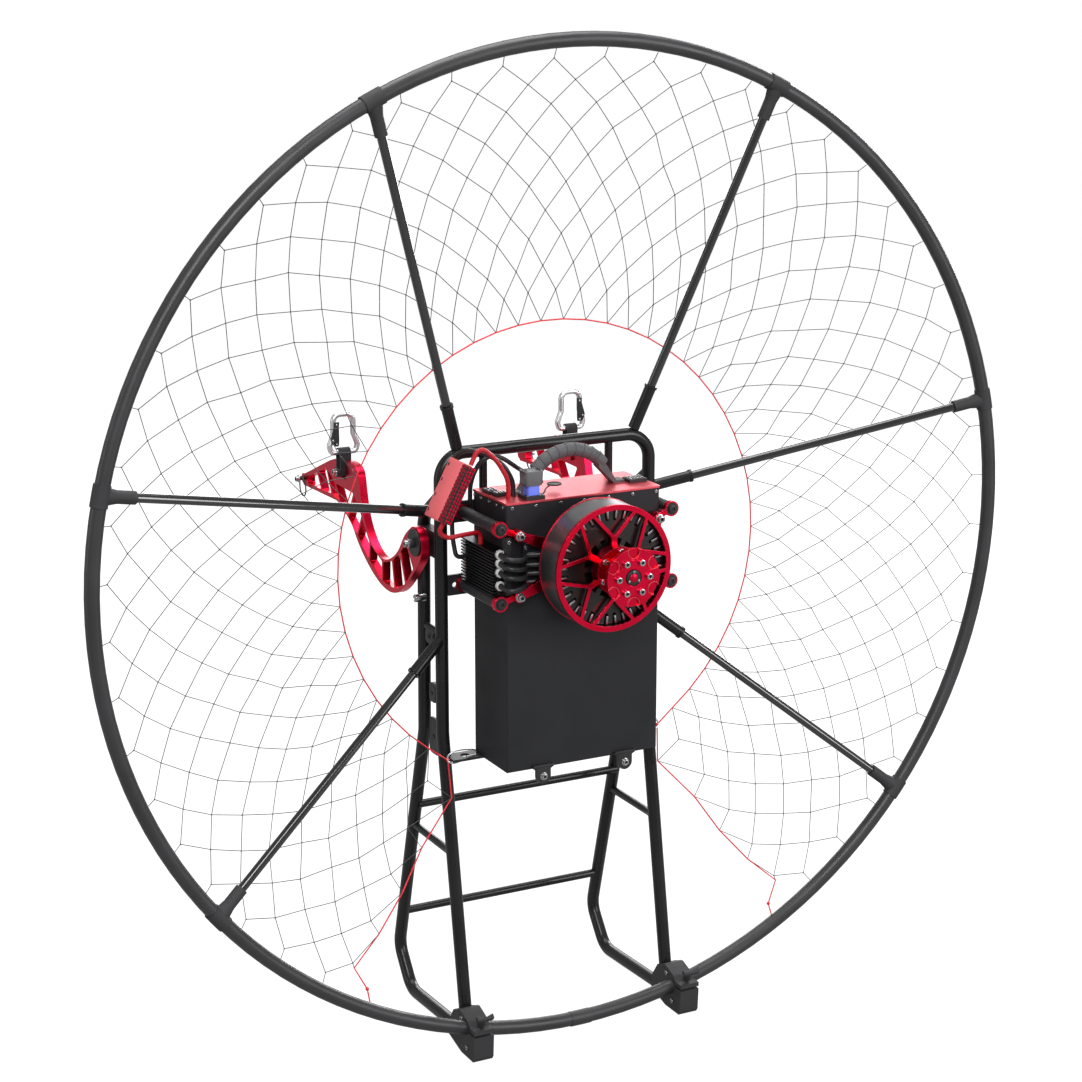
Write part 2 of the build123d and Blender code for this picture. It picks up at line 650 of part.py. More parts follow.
with BuildPart() as rotor_hub:
    with BuildSketch(motor(BELL_BACK_Y)):
        Circle(HUB_RADIUS)
        Circle(SHAFT_DIAMETER / 2 + RUNNING_GAP, mode=Mode.SUBTRACT)
    extrude(amount=BELL_BACK_Y - HUB_BACK_Y)
    with BuildSketch(motor(HUB_BACK_Y)):
        Circle(FLANGE_NECK)
        Circle(SHAFT_DIAMETER / 2 + RUNNING_GAP, mode=Mode.SUBTRACT)
    extrude(amount=HUB_BACK_Y - FLANGE_BACK_Y - FLANGE_THICKNESS)
rotor_hub.part.label = "rotor_hub"
export_step(rotor_hub.part, "parts/rotor_hub.step")

with BuildPart() as prop_flange:
    with BuildSketch(motor(FLANGE_BACK_Y + FLANGE_THICKNESS)):
        Circle(FLANGE_RADIUS)
        Circle(SHAFT_DIAMETER / 2 + RUNNING_GAP, mode=Mode.SUBTRACT)
        with PolarLocations(FLANGE_PCD / 2, 6, start_angle=0):
            Circle(FLANGE_SCREW / 2 + FIT_GAP, mode=Mode.SUBTRACT)
    extrude(amount=FLANGE_THICKNESS)
    with BuildSketch(motor(FLANGE_BACK_Y)):
        with PolarLocations(FLANGE_PCD / 2 + POCKET_OUTSET, 6, start_angle=30):
            Circle(POCKET_RADIUS)
    extrude(amount=-POCKET_DEPTH, mode=Mode.SUBTRACT)
    with BuildSketch(motor(FLANGE_BACK_Y)):
        Circle(FLANGE_MOUTH)
    extrude(amount=-FLANGE_SINK, mode=Mode.SUBTRACT)
prop_flange.part.label = "prop_flange"
export_step(prop_flange.part, "parts/prop_flange.step")

with BuildPart() as prop_bolts:
    with BuildSketch(motor(HUB_BACK_Y)):
        with PolarLocations(FLANGE_PCD / 2, 6):
            Circle(FLANGE_SCREW / 2)
    extrude(amount=HUB_BACK_Y - FLANGE_BACK_Y)
    with BuildSketch(motor(FLANGE_BACK_Y)):
        with PolarLocations(FLANGE_PCD / 2, 6):
            Circle(4.8)
    extrude(amount=SCREW_HEAD)
prop_bolts.part.label = "prop_bolts"
export_step(prop_bolts.part, "parts/prop_bolts.step")

# ---------------------------------------------------------------- controller
with BuildPart() as controller:
    with BuildSketch(back(98)):
        with BuildLine():
            pitch = SINK_HEIGHT / SINK_FINS
            comb = [(-SINK_IN_X, SINK_FLOOR_Z)]
            for k in range(SINK_FINS):
                z = SINK_FLOOR_Z + k * pitch
                comb += [(-SINK_OUT_X, z), (-SINK_OUT_X, z + pitch * 0.45)]
                if k < SINK_FINS - 1:
                    comb += [
                        (-SINK_OUT_X + SINK_FIN_DEPTH, z + pitch * 0.5),
                        (-SINK_OUT_X + SINK_FIN_DEPTH, z + pitch * 0.95),
                    ]
            comb += [(-SINK_IN_X, SINK_FLOOR_Z + SINK_HEIGHT - pitch * 0.55)]
            Polyline(*comb, close=True)
        make_face()
    extrude(amount=108)
controller.part.label = "controller"
export_step(controller.part, "parts/controller.step")

# ---------------------------------------------------------------- swing arms
with BuildPart() as right_arm:
    with BuildSketch(side(ARM_INNER_X)) as outline:
        with BuildLine():
            Line((584, 777), (583, 795))
            Line((583, 795), (481, 836))
            Spline((481, 836), (392, 854), (352, 836), tangents=[(-1, 0.4), (-0.25, -1)])
            Spline((352, 836), (335, 778), (263, 726), (200, 757), (158, 797.7), tangents=[(-0.25, -1), (-1, 0.6)])
            ThreePointArc((158, 797.7), (PIVOT_Y, PIVOT_Z + PIVOT_RING), (PIVOT_Y - PIVOT_RING, PIVOT_Z))
            Spline(
                (PIVOT_Y - PIVOT_RING, PIVOT_Z), (138, 740), (214, 683), (267, 682), (365, 736), (442, 780),
                tangents=[(0, -1), (1, 0.35)],
            )
            Line((442, 780), (584, 777))
        make_face()
    extrude(amount=ARM_THICKNESS)
    with BuildSketch(side(ARM_INNER_X)):
        for upper, upper_next, lower, lower_next in zip(ARM_TOP, ARM_TOP[1:], ARM_LOW, ARM_LOW[1:]):
            top_step = (Vector(*upper_next) - Vector(*upper)).normalized() * RIB / 2
            low_step = (Vector(*lower_next) - Vector(*lower)).normalized() * RIB / 2
            with BuildLine():
                Polyline(
                    Vector(*upper) + top_step, Vector(*upper_next) - top_step,
                    Vector(*lower_next) - low_step, Vector(*lower) + low_step, close=True,
                )
            make_face()
        fillet(vertices(), radius=WINDOW_CORNER)
    extrude(amount=ARM_THICKNESS, mode=Mode.SUBTRACT)
    with BuildSketch(side(ARM_INNER_X)):
        with Locations((PIVOT_Y, PIVOT_Z)):
            Circle(PIVOT_PIN / 2 + RUNNING_GAP)
    extrude(amount=ARM_THICKNESS, mode=Mode.SUBTRACT)
    with BuildSketch(side(ARM_INNER_X)):
        with Locations((STRAP_Y, STRAP_PIN_Z + 15.5)):
            Rectangle(32, 52)
    extrude(amount=ARM_THICKNESS, mode=Mode.SUBTRACT)
    with BuildSketch(side(ARM_INNER_X)):
        with Locations((ARM_TIP_Y - TIP_BOSS, TIP_Z)):
            Circle(TIP_BOSS)
    extrude(amount=ARM_THICKNESS)
    with BuildSketch(side(ARM_INNER_X - 4)):
        with Locations((STRAP_Y, 832)):
            Rectangle(56, 34)
            with Locations((0, STRAP_PIN_Z - 832)):
                Circle(STRAP_PIN / 2 + FIT_GAP, mode=Mode.SUBTRACT)
    extrude(amount=4)
right_arm.part.label = "right_arm"
export_step(right_arm.part, "parts/right_arm.step")
with BuildPart() as left_arm:
    mirror(right_arm.part, about=Plane.YZ)
left_arm.part.label = "left_arm"
export_step(left_arm.part, "parts/left_arm.step")

STRAP_MID_X = ARM_INNER_X + 0.3 + STRAP_WIDTH / 2
STRAP_MID_Z = STRAP_PIN_Z + 15.7
HOOK_FLOOR_Z = STRAP_MID_Z + 16.1
for name, sx in (("left", -1), ("right", 1)):
    with BuildPart() as strap:
        with BuildSketch(side(sx * STRAP_MID_X - STRAP_WIDTH / 2)):
            with Locations((STRAP_Y, STRAP_MID_Z)):
                SlotCenterToCenter(29, 18, rotation=90)
                SlotCenterToCenter(29, 13, rotation=90, mode=Mode.SUBTRACT)
        extrude(amount=STRAP_WIDTH)
    strap.part.label = name + "_strap"
    export_step(strap.part, f"parts/{name}_strap.step")

    with BuildPart() as carabiner:
        hang = sx * STRAP_MID_X
        with BuildSketch(back(STRAP_Y), mode=Mode.PRIVATE) as bow:
            with BuildLine():
                Polyline(
                    (hang + 21, HOOK_FLOOR_Z), (hang + 24, HOOK_FLOOR_Z + 11), (hang + 17, HOOK_FLOOR_Z + 29),
                    (hang + 17, HOOK_FLOOR_Z + 61), (hang - 17, HOOK_FLOOR_Z + 61), (hang - 17, HOOK_FLOOR_Z + 29),
                    (hang - 24, HOOK_FLOOR_Z + 11), (hang - 21, HOOK_FLOOR_Z), close=True,
                )
            make_face()
            rows = vertices().group_by(Axis.Y)
            fillet(rows[0] + rows[1] + rows[2], radius=HOOK_BEND)
            fillet(vertices().group_by(Axis.Y)[-1], radius=HOOK_TOP_BEND)
        wire = bow.sketch.face().outer_wire()
        with BuildSketch(Plane(origin=wire @ 0, z_dir=wire % 0)):
            Circle(HOOK_BAR / 2)
        sweep(path=wire)
    carabiner.part.label = name + "_carabiner"
    export_step(carabiner.part, f"parts/{name}_carabiner.step")

    with BuildPart() as strap_bolt:
        with BuildSketch(side(sx * (ARM_INNER_X - 4))):
            with Locations((STRAP_Y, STRAP_PIN_Z)):
                Circle(STRAP_PIN / 2)
        extrude(amount=sx * (STRAP_WIDTH + 4.6))
        with BuildSketch(side(sx * (ARM_INNER_X + STRAP_WIDTH + 0.6))):
            with Locations((STRAP_Y, STRAP_PIN_Z)):
                Circle(8)
        extrude(amount=sx * 4)
    strap_bolt.part.label = name + "_strap_bolt"
    export_step(strap_bolt.part, f"parts/{name}_strap_bolt.step")

    with BuildPart() as pivot:
        with BuildSketch(side(sx * (TRACK - TUBE / 2 + 1))):
            with Locations((PIVOT_Y, PIVOT_Z)):
                Rectangle(66, 40)
        extrude(amount=sx * (TUBE - 1))
        with BuildSketch(side(sx * TRACK)):
            with Locations((PIVOT_Y, PIVOT_Z)):
                Circle(PIVOT_PIN / 2)
        extrude(amount=sx * 39)
        with BuildSketch(side(sx * (ARM_INNER_X + ARM_THICKNESS + RUNNING_GAP))):
            with Locations((PIVOT_Y, PIVOT_Z)):
                Circle(PIVOT_DISC)
        extrude(amount=sx * 2.5)
        add(front_legs.part, mode=Mode.SUBTRACT)
        add(upper_frame.part, mode=Mode.SUBTRACT)
    pivot_kept = pivot.part.solids().sort_by(SortBy.VOLUME)[-1]
    with BuildPart() as pivot:
        add(pivot_kept)
    pivot.part.label = name + "_pivot"
    export_step(pivot.part, f"parts/{name}_pivot.step")

# ---------------------------------------------------------------- spar sleeves
with BuildPart() as spar_sleeves:
    for angle in SPAR_ANGLES:
        root = spar_root(angle)
        run = spar_run(angle)
        with BuildSketch(along(root, on_hoop(angle))):
            Circle(SLEEVE_DIAMETER / 2)
        extrude(amount=TUBE / 2 + SLEEVE_LENGTH)
        with BuildSketch(along(root + run * (TUBE / 2 + SLEEVE_LENGTH - 4), on_hoop(angle))):
            Circle(SLEEVE_DIAMETER / 2 + SLEEVE_COLLAR)
        extrude(amount=4)
        mouth = root + run * (TUBE / 2 + SLEEVE_LENGTH)
        with BuildSketch(along(mouth, root)):
            Circle(SPAR_DIAMETER / 2 + FIT_GAP)
        extrude(amount=SPAR_INSERT + 0.2, mode=Mode.SUBTRACT)
    add(upper_frame.part, mode=Mode.SUBTRACT)
    add(front_legs.part, mode=Mode.SUBTRACT)
sleeves_kept = spar_sleeves.part.solids().sort_by(SortBy.VOLUME)[-6:]
with BuildPart() as spar_sleeves:
    add(sleeves_kept)
spar_sleeves.part.label = "spar_sleeves"
export_step(spar_sleeves.part, "parts/spar_sleeves.step")

# ---------------------------------------------------------------- feet
with BuildPart() as foot_blocks:
    for sx in (-1, 1):
        with BuildSketch(side(sx * FOOT_X - FOOT_WIDTH / 2)):
            with BuildLine():
                Polyline(
                    (-26, 0), (16, 0), (60, 12), (60, 34), (42, 60), (26, 66), (14, 58), (9, 43), (-32, 41), (-30, 6),
                    close=True,
                )
            make_face()
        extrude(amount=FOOT_WIDTH)
    with BuildSketch(hoop_section(0)):
        Circle(HOOP_TUBE / 2 + FIT_GAP)
    revolve(axis=HOOP_AXIS, revolution_arc=360, mode=Mode.SUBTRACT)
    add(rear_legs.part, mode=Mode.SUBTRACT)
    add(front_legs.part, mode=Mode.SUBTRACT)
feet_kept = foot_blocks.part.solids().sort_by(SortBy.VOLUME)[-2:]
with BuildPart() as foot_blocks:
    add(feet_kept)
foot_blocks.part.label = "foot_blocks"
export_step(foot_blocks.part, "parts/foot_blocks.step")

with BuildPart() as foot_caps:
    for sx in (-1, 1):
        with BuildSketch(side(sx * FOOT_X - FOOT_WIDTH / 2)):
            with BuildLine():
                Polyline(
                    (26, 67), (18, 69), (8, 66), (-8, 60), (-17, 52), (-32, 52), (-32, 45), (9, 45), (14, 60),
                    close=True,
                )
            make_face()
        extrude(amount=FOOT_WIDTH)
    with BuildSketch(hoop_section(0)):
        Circle(HOOP_TUBE / 2 + FIT_GAP)
    revolve(axis=HOOP_AXIS, revolution_arc=360, mode=Mode.SUBTRACT)
    add(foot_blocks.part, mode=Mode.SUBTRACT)
caps_kept = foot_caps.part.solids().sort_by(SortBy.VOLUME)[-2:]
with BuildPart() as foot_caps:
    add(caps_kept)
foot_caps.part.label = "foot_caps"
export_step(foot_caps.part, "parts/foot_caps.step")

with BuildPart() as wing_knobs:
    for sx in (-1, 1):
        with BuildSketch(level(52)):
            with Locations((sx * FOOT_X, -24)):
                Circle(4.5)
        extrude(amount=9)
        with BuildSketch(level(61)):
            with Locations((sx * FOOT_X, -24)):
                RectangleRounded(18, 8, 3)
        extrude(amount=8)
wing_knobs.part.label = "wing_knobs"
export_step(wing_knobs.part, "parts/wing_knobs.step")

# ---------------------------------------------------------------- electrics
MODULE_THICKNESS = 16.0
MODULE = Plane(origin=at(-200, 45, 880), x_dir=(0, -1, 0), z_dir=(-0.887, 0, 0.462))
with BuildPart() as switch_module:
    with BuildSketch(MODULE):
        RectangleRounded(62, 93, 2)
    extrude(amount=-MODULE_THICKNESS)
switch_module.part.label = "switch_module"
export_step(switch_module.part, "parts/switch_module.step")

with BuildPart() as module_bracket:
    with BuildSketch(MODULE.offset(-MODULE_THICKNESS - 0.3)):
        with Locations((-28, 4)):
            Rectangle(78, 20)
    extrude(amount=-4)
    add(upper_frame.part, mode=Mode.SUBTRACT)
module_bracket.part.label = "module_bracket"
export_step(module_bracket.part, "parts/module_bracket.step")

with BuildPart() as terminal_post:
    with BuildSketch(level(HOOP_CENTRE_Z - 43)):
        with Locations((-132.2, -16.4)):
            Rectangle(8.6, 12)
    extrude(amount=86)
terminal_post.part.label = "terminal_post"
export_step(terminal_post.part, "parts/terminal_post.step")

with BuildPart() as terminal_strip:
    with BuildSketch(level(HOOP_CENTRE_Z - 30)):
        with Locations((-101, -12)):
            Rectangle(7, 8)
    extrude(amount=60)
terminal_strip.part.label = "terminal_strip"
export_step(terminal_strip.part, "parts/terminal_strip.step")

# ---------------------------------------------------------------- cables
LEAD_DIAMETER = 7.0
PHASE_DIAMETER = 5.6
SINK_TOP_Z = SINK_FLOOR_Z + SINK_HEIGHT * (1 - 0.55 / SINK_FINS)
SEAT_GAP = 0.3               # a cable's end and the face that it enters
SINK_LEAD_Z = SINK_TOP_Z + SEAT_GAP

RED_ROUTES = [
    [(-110, 22, LID_Z + SEAT_GAP), (-110, 22, 890), (-130, 22, 923), (-157, 22, 945), (-171.2, 22, 917.9)],
    [(-214.4, 26, 834.8), (-221, 27, 822), (-206, 30, 811), (-172, 36, 812), (-146, 42, 811), (-146, 42, SINK_LEAD_Z)],
]
BLACK_ROUTES = [
    [
        (-97, 32, LID_Z + SEAT_GAP), (-97, 32, 884), (-110, 36, 910), (-138, 48, 929), (-164, 70, 932),
        (-172, 86, 905), (-171, 90, 870), (-170, 90, 830), (-170, 88, 794), (-168, 80, 766), (-SINK_OUT_X - SEAT_GAP, 80, 766),
    ],
    [
        (-44, 88, LID_Z + SEAT_GAP), (-44, 88, 878), (-62, 90, 890), (-82, 92, 905), (-100, 94, 912), (-117, 99, 904),
        (-127, 102.5, 886), (-132, 105.3, 866), (-132.4, 105.3, 838),
    ],
]


def phase_route(start_z, end_z):
    """A motor lead: out of the controller, round the terminal post and back to the strip."""
    return [
        (-140.4, -10 - SEAT_GAP, start_z), (-140.4, -27, start_z), (-120, -31, (start_z + end_z) / 2),
        (-117, -12, end_z), (-104.5 - SEAT_GAP, -12, end_z),
    ]


PHASE_ROUTES = [phase_route(*heights) for heights in ((788, 781), (775, 767), (761, 754), (741, 742))]
for name, routes, diameter in (
    ("red_cables", RED_ROUTES, LEAD_DIAMETER),
    ("black_cables", BLACK_ROUTES, LEAD_DIAMETER),
    ("phase_cables", PHASE_ROUTES, PHASE_DIAMETER),
):
    with BuildPart() as cables:
        for route in routes:
            print(name, "bend radii", [round(r) for r in bends(route)])
            with BuildLine() as run:
                FilletPolyline(*[at(*point) for point in route], radius=bends(route))
            with BuildSketch(Plane(origin=run.line @ 0, z_dir=run.line % 0)):
                Circle(diameter / 2)
            sweep(path=run.line)
    cables.part.label = name
    export_step(cables.part, f"parts/{name}.step")
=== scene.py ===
# %% [markdown]
# # Dressing an electric paramotor
#
# A paramotor is a motor that a pilot wears on the back. This one is electric, and it stands on its own feet:
# a tube chassis with a battery box, an open motor behind it, and a light round hoop that keeps lines and hands
# away from the propeller. The solids come from the CAD model, so this lesson adds what CAD leaves out: the
# finish of each surface, the net and its cords, screws, clamps, stitching and windings.
#
# The model is loaded first. Everything that follows sits on it, in metres.

# %% Load the part
import json
import math
import random

import bpy
import bmesh
from mathutils import Matrix, Vector


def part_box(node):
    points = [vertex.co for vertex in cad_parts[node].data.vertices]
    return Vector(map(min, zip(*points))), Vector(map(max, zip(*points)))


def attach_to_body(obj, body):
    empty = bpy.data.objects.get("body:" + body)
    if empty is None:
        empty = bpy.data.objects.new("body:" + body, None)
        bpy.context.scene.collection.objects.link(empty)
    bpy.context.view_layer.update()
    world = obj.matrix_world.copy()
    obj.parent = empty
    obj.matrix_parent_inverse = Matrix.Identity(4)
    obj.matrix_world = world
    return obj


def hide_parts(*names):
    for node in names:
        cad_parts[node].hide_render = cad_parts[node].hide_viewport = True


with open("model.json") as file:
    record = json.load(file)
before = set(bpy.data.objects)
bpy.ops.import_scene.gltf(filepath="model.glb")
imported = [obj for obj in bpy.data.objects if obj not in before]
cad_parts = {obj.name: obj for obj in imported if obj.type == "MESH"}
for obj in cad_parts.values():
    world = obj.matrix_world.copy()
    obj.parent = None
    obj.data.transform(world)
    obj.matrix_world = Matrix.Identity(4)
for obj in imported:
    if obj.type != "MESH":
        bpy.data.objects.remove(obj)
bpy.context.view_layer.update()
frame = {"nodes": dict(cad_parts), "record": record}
nodes = frame["nodes"]

# %% [markdown]
# The drawing of this machine counts its depths from the hoop's plane, and its motor turns about the hoop's
# middle. Both are read from the loaded hoop, so a point can be written in millimetres as on the drawing:
# across, forwards of the hoop, and above the ground.

# %% Points in millimetres
hoop_low, hoop_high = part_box("hoop_tubes")
HOOP_Y = (hoop_low.y + hoop_high.y) / 2
AXIS_Z = 1000 * (hoop_low.z + hoop_high.z) / 2
MM = 0.001


def at(x, y, z):
    """A point of the drawing, in metres."""
    return Vector((x * MM, HOOP_Y + y * MM, z * MM))


def around(radius, degrees_clockwise, y):
    """A point round the motor's axis, its angle counted from the top as seen from the rear."""
    a = math.radians(degrees_clockwise)
    return at(radius * math.sin(a), y, AXIS_Z + radius * math.cos(a))


def link(name, data):
    """A new object in the scene."""
    made = bpy.data.objects.new(name, data)
    bpy.context.scene.collection.objects.link(made)
    return made


print("hoop plane", round(HOOP_Y, 4), "motor axis height", round(AXIS_Z, 1))

# %% [markdown]
# ## Camera
#
# The view is from behind and to the left, a little above the motor, with a long lens, so that the hoop stays
# nearly round. Aiming by a target point is simpler than by angles: the camera's own -Z is turned to the target
# and its Y is kept up.

# %% Camera
camera = link("camera", bpy.data.cameras.new("camera"))
camera.location = at(-1674, -3095, 1695)
target = at(-67.6, 0, 797.5)
camera.rotation_euler = (target - camera.location).to_track_quat("-Z", "Y").to_euler()
camera.data.lens = 81.4
camera.data.sensor_width = 36
camera.data.clip_end = 100
bpy.context.scene.camera = camera
bpy.context.scene.view_settings.view_transform = "Standard"
print("camera distance", round((target - camera.location).length, 3))

# %% [markdown]
# ## Shader sums
#
# A finish is made of small nodes, and most of them are sums. Writing these as Python is easier to read: a Wire
# is the output of a node, and adding, subtracting or multiplying with it adds a Math node. Nodes holds the tree
# of a material or of the world and makes any other kind of node. Finish is one material.

# %% Tools for materials
class Wire:
    """A node's output that Python's operators work on."""

    def __init__(self, nodes, socket):
        self.nodes, self.socket = nodes, socket

    def sum(self, operation, first, second=0.0, clamp=False):
        settings = {"operation": operation, "use_clamp": clamp}
        return self.nodes.node("ShaderNodeMath", settings, {0: first, 1: second})

    def __add__(self, other): return self.sum("ADD", self, other)
    def __radd__(self, other): return self.sum("ADD", other, self)
    def __sub__(self, other): return self.sum("SUBTRACT", self, other)
    def __mul__(self, other): return self.sum("MULTIPLY", self, other)
    def sine(self): return self.sum("SINE", self)
    def clamped(self): return self.sum("ADD", self, 0.0, True)


class Nodes:
    """The nodes of a material or of the world, and its shader."""

    def __init__(self, owner, shader):
        owner.use_nodes = True
        self.tree = owner.node_tree
        self.shader = self.tree.nodes[shader]

    def node(self, kind, settings=None, inputs=None, output=0):
        made = self.tree.nodes.new(kind)
        for key, value in (settings or {}).items():
            setattr(made, key, value)
        for key, value in (inputs or {}).items():
            if isinstance(value, Wire):
                self.tree.links.new(value.socket, made.inputs[key])
            else:
                made.inputs[key].default_value = value
        return Wire(self, made.outputs[output])

    def feed(self, **wires):
        for words, wire in wires.items():
            self.tree.links.new(wire.socket, self.shader.inputs[words.replace("_", " ")])


class Finish(Nodes):
    """One material, built round a Principled shader."""

    def __init__(self, name, **constants):
        self.material = bpy.data.materials.new(name)
        super().__init__(self.material, "Principled BSDF")
        for words, value in constants.items():
            self.shader.inputs[words.replace("_", " ")].default_value = value

    def place(self, scale=(1, 1, 1)):
        """The point's own place on the machine, stretched by a scale on each axis."""
        where = self.node("ShaderNodeTexCoord", output="Object")
        return self.node("ShaderNodeMapping", {"vector_type": "POINT"}, {"Vector": where, "Scale": scale})

    def axis(self, where, letter):
        return self.node("ShaderNodeSeparateXYZ", None, {0: where}, output=letter)

    def noise(self, scale, where=None, detail=2.0):
        inputs = {"Vector": where or self.place(), "Scale": scale, "Detail": detail, "Roughness": 0.5}
        return self.node("ShaderNodeTexNoise", None, inputs)

    def blend(self, first, second, share):
        """Goes from one colour to another as share goes from 0 to 1."""
        pair = [c if isinstance(c, Wire) else (*c, 1) for c in (first, second)]
        return self.node("ShaderNodeMix", {"data_type": "RGBA"}, {0: share, 6: pair[0], 7: pair[1]}, output=2)

    def range(self, value, low, high, out_low=0.0, out_high=1.0):
        """Stretches low to high onto out_low to out_high, and holds it there."""
        return self.node("ShaderNodeMapRange", None, {0: value, 1: low, 2: high, 3: out_low, 4: out_high})

    def bump(self, height, depth_mm, under=None):
        inputs = {"Height": height, "Distance": depth_mm * MM}
        if under:
            inputs["Normal"] = under
        return self.node("ShaderNodeBump", None, inputs)

# %% [markdown]
# ## Light
#
# Black and red metal is drawn by what it mirrors, so the world is white to the camera and only about a third as
# bright to the rays that light or mirror: black tubes stay black in a white room.

# %% World
ROOM_LIGHT, MIRROR_EXTRA, CAMERA_EXTRA = 0.34, 0.05, 0.66
world = bpy.data.worlds.new("studio")
bpy.context.scene.world = world
studio = Nodes(world, "Background")
studio.shader.inputs["Color"].default_value = (1, 1, 1, 1)
camera_ray = studio.node("ShaderNodeLightPath", output="Is Camera Ray")
mirror_ray = studio.node("ShaderNodeLightPath", output="Is Glossy Ray")
studio.feed(Strength=camera_ray * CAMERA_EXTRA + (mirror_ray * MIRROR_EXTRA + ROOM_LIGHT))
print("world", ROOM_LIGHT, "plus", CAMERA_EXTRA, "to the camera")

# %% [markdown]
# Large soft lamps add the long white lines on the tubes. They are rectangles that the camera doesn't see, and all
# of them are aimed at the machine's middle.

# %% Soft lamps
CENTRE = at(0, 0, 760)


def lamp(name, place, size, power):
    """A rectangular lamp of a size in metres and a power in watts, aimed at the machine."""
    data = bpy.data.lights.new(name, "AREA")
    data.shape, data.size, data.size_y, data.energy = "RECTANGLE", size[0], size[1], power
    made = link(name, data)
    made.location = place
    made.visible_camera = False
    made.rotation_euler = (CENTRE - Vector(place)).to_track_quat("-Z", "Y").to_euler()


lamp("key", (-1.7, -3.8, 3.3), (1.2, 2.6), 120)
lamp("fill", (2.4, -3.6, 1.8), (1.2, 2.4), 66)
lamp("left", (-4.2, 0.6, 1.6), (0.7, 2.8), 18)
lamp("top", (0.3, 0.3, 4.2), (2.6, 2.6), 120)
lamp("rim", (3.4, 2.4, 2.2), (0.9, 2.8), 95)
lamp("back", (1.9, 4.2, 1.7), (3.4, 1.6), 68)
print("lamps", len(bpy.data.lights))

# %% [markdown]
# The floor keeps the machine's shadow. For rays of the camera it adds its own light, so that it comes out just
# white all the way to the horizon. It mustn't come out brighter than that: a thin cord takes away only a part of
# the light behind it, and in front of a floor of twice white it would vanish.

# %% Floor
bpy.ops.object.select_all(action="DESELECT")
bpy.ops.mesh.primitive_plane_add(size=160, location=(0, 60, -0.0005))
floor = bpy.context.active_object
floor.name = "floor"
paper = Finish("floor_paper", Roughness=0.9, Specular_IOR_Level=0.1)
paper.shader.inputs["Base Color"].default_value = (0.16, 0.16, 0.16, 1)
paper.shader.inputs["Emission Color"].default_value = (1, 1, 1, 1)
paper.shader.inputs["Emission Strength"].default_value = 0.94
camera_ray = paper.node("ShaderNodeLightPath", output="Is Camera Ray")
mirror_ray = paper.node("ShaderNodeLightPath", output="Is Glossy Ray")
paper.feed(Emission_Color=paper.blend((0, 0, 0), (1, 1, 1), (camera_ray + mirror_ray * 0.3).clamped()))
floor.data.materials.append(paper.material)
print("floor", tuple(round(v) for v in floor.dimensions))

# %% [markdown]
# ## Painted and anodised metal
#
# Real edges are never sharp: they are broken by a chamfer of a fraction of a millimetre, which catches the light
# and is the first place to wear. The Bevel node rounds the shading of an edge without touching the mesh, and the
# angle between its normal and the face's own tells where an edge is. There the colour is made lighter, partly as
# wear and partly as a painted highlight.

# %% Broken edges
def edges(made, radius_mm):
    """The rounded normal of an edge, and how near to an edge a point is, from 0 to 1."""
    rounded = made.node("ShaderNodeBevel", {"samples": 4}, {"Radius": radius_mm * MM})
    flat = made.node("ShaderNodeNewGeometry", output="Normal")
    along = made.node("ShaderNodeVectorMath", {"operation": "DOT_PRODUCT"}, {0: rounded, 1: flat}, output="Value")
    return rounded, made.range(along, 0.995, 0.8)


# %% [markdown]
# The chassis tubes are aluminium with a black powder coat. Powder coat is never quite flat: it has an orange
# peel of about a millimetre, and handling leaves patches that are a little duller. Two noises give both, one
# fine one for the bump and one broad one for the gloss.

# %% Black coats
# Edges turn to this lighter grey: partly wear, partly a painted highlight.
WORN_AND_LIT_EDGE = (0.09, 0.09, 0.095)


def coat(name, colour, worn, gloss, spread, peel_mm, depth_mm, specular=0.4, clear=0.0):
    """A powder coat; gloss is the roughness of fresh patches and spread what dull ones add to it."""
    made = Finish(name, Specular_IOR_Level=specular, Coat_Weight=clear, Coat_Roughness=0.06)
    broad = made.noise(14, detail=4)
    fine = made.noise(1000 / peel_mm, detail=2)
    rounded, edge = edges(made, 0.7)
    patchy = made.blend(colour, worn, made.range(broad, 0.35, 0.75))
    dullness = made.range(broad, 0.3, 0.7, gloss, gloss + spread)
    made.feed(
        Base_Color=made.blend(patchy, WORN_AND_LIT_EDGE, edge * 0.5),
        Roughness=(dullness + (fine - 0.5) * 0.06).clamped(),
        Normal=made.bump(fine, depth_mm, under=rounded),
    )
    return made.material


# Columns: colour, worn colour, gloss, spread, width and depth of the orange peel, specular level, clear coat.
COATS = {
    "gloss_black": ((0.008, 0.008, 0.009), (0.013, 0.013, 0.014), 0.22, 0.12, 1.1, 0.006, 0.28, 0.12),
    "hoop_black": ((0.03, 0.03, 0.032), (0.042, 0.042, 0.045), 0.34, 0.1, 0.9, 0.008, 0.45),
    "spar_black": ((0.006, 0.006, 0.007), (0.011, 0.011, 0.012), 0.12, 0.06, 1.1, 0.001, 0.5, 1.0),
    "satin_black": ((0.016, 0.016, 0.018), (0.026, 0.026, 0.029), 0.4, 0.14, 0.7, 0.02, 0.4),
    "case_grey": ((0.0125, 0.013, 0.0155), (0.017, 0.0175, 0.0205), 0.46, 0.1, 0.8, 0.02, 0.3),
    "moulded_black": ((0.032, 0.032, 0.034), (0.045, 0.045, 0.048), 0.58, 0.12, 0.5, 0.05, 0.35),
    "contact_black": ((0.01, 0.01, 0.011), (0.02, 0.02, 0.021), 0.42, 0.12, 0.6, 0.03, 0.4),
    "black_bolt": ((0.012, 0.012, 0.013), (0.03, 0.03, 0.032), 0.35, 0.15, 0.8, 0.02, 0.45),
    "plug_grey": ((0.13, 0.13, 0.135), (0.17, 0.17, 0.175), 0.5, 0.12, 0.6, 0.04, 0.35),
}
FINISHES = {name: coat(name, *look) for name, look in COATS.items()}
print("coats", len(FINISHES))


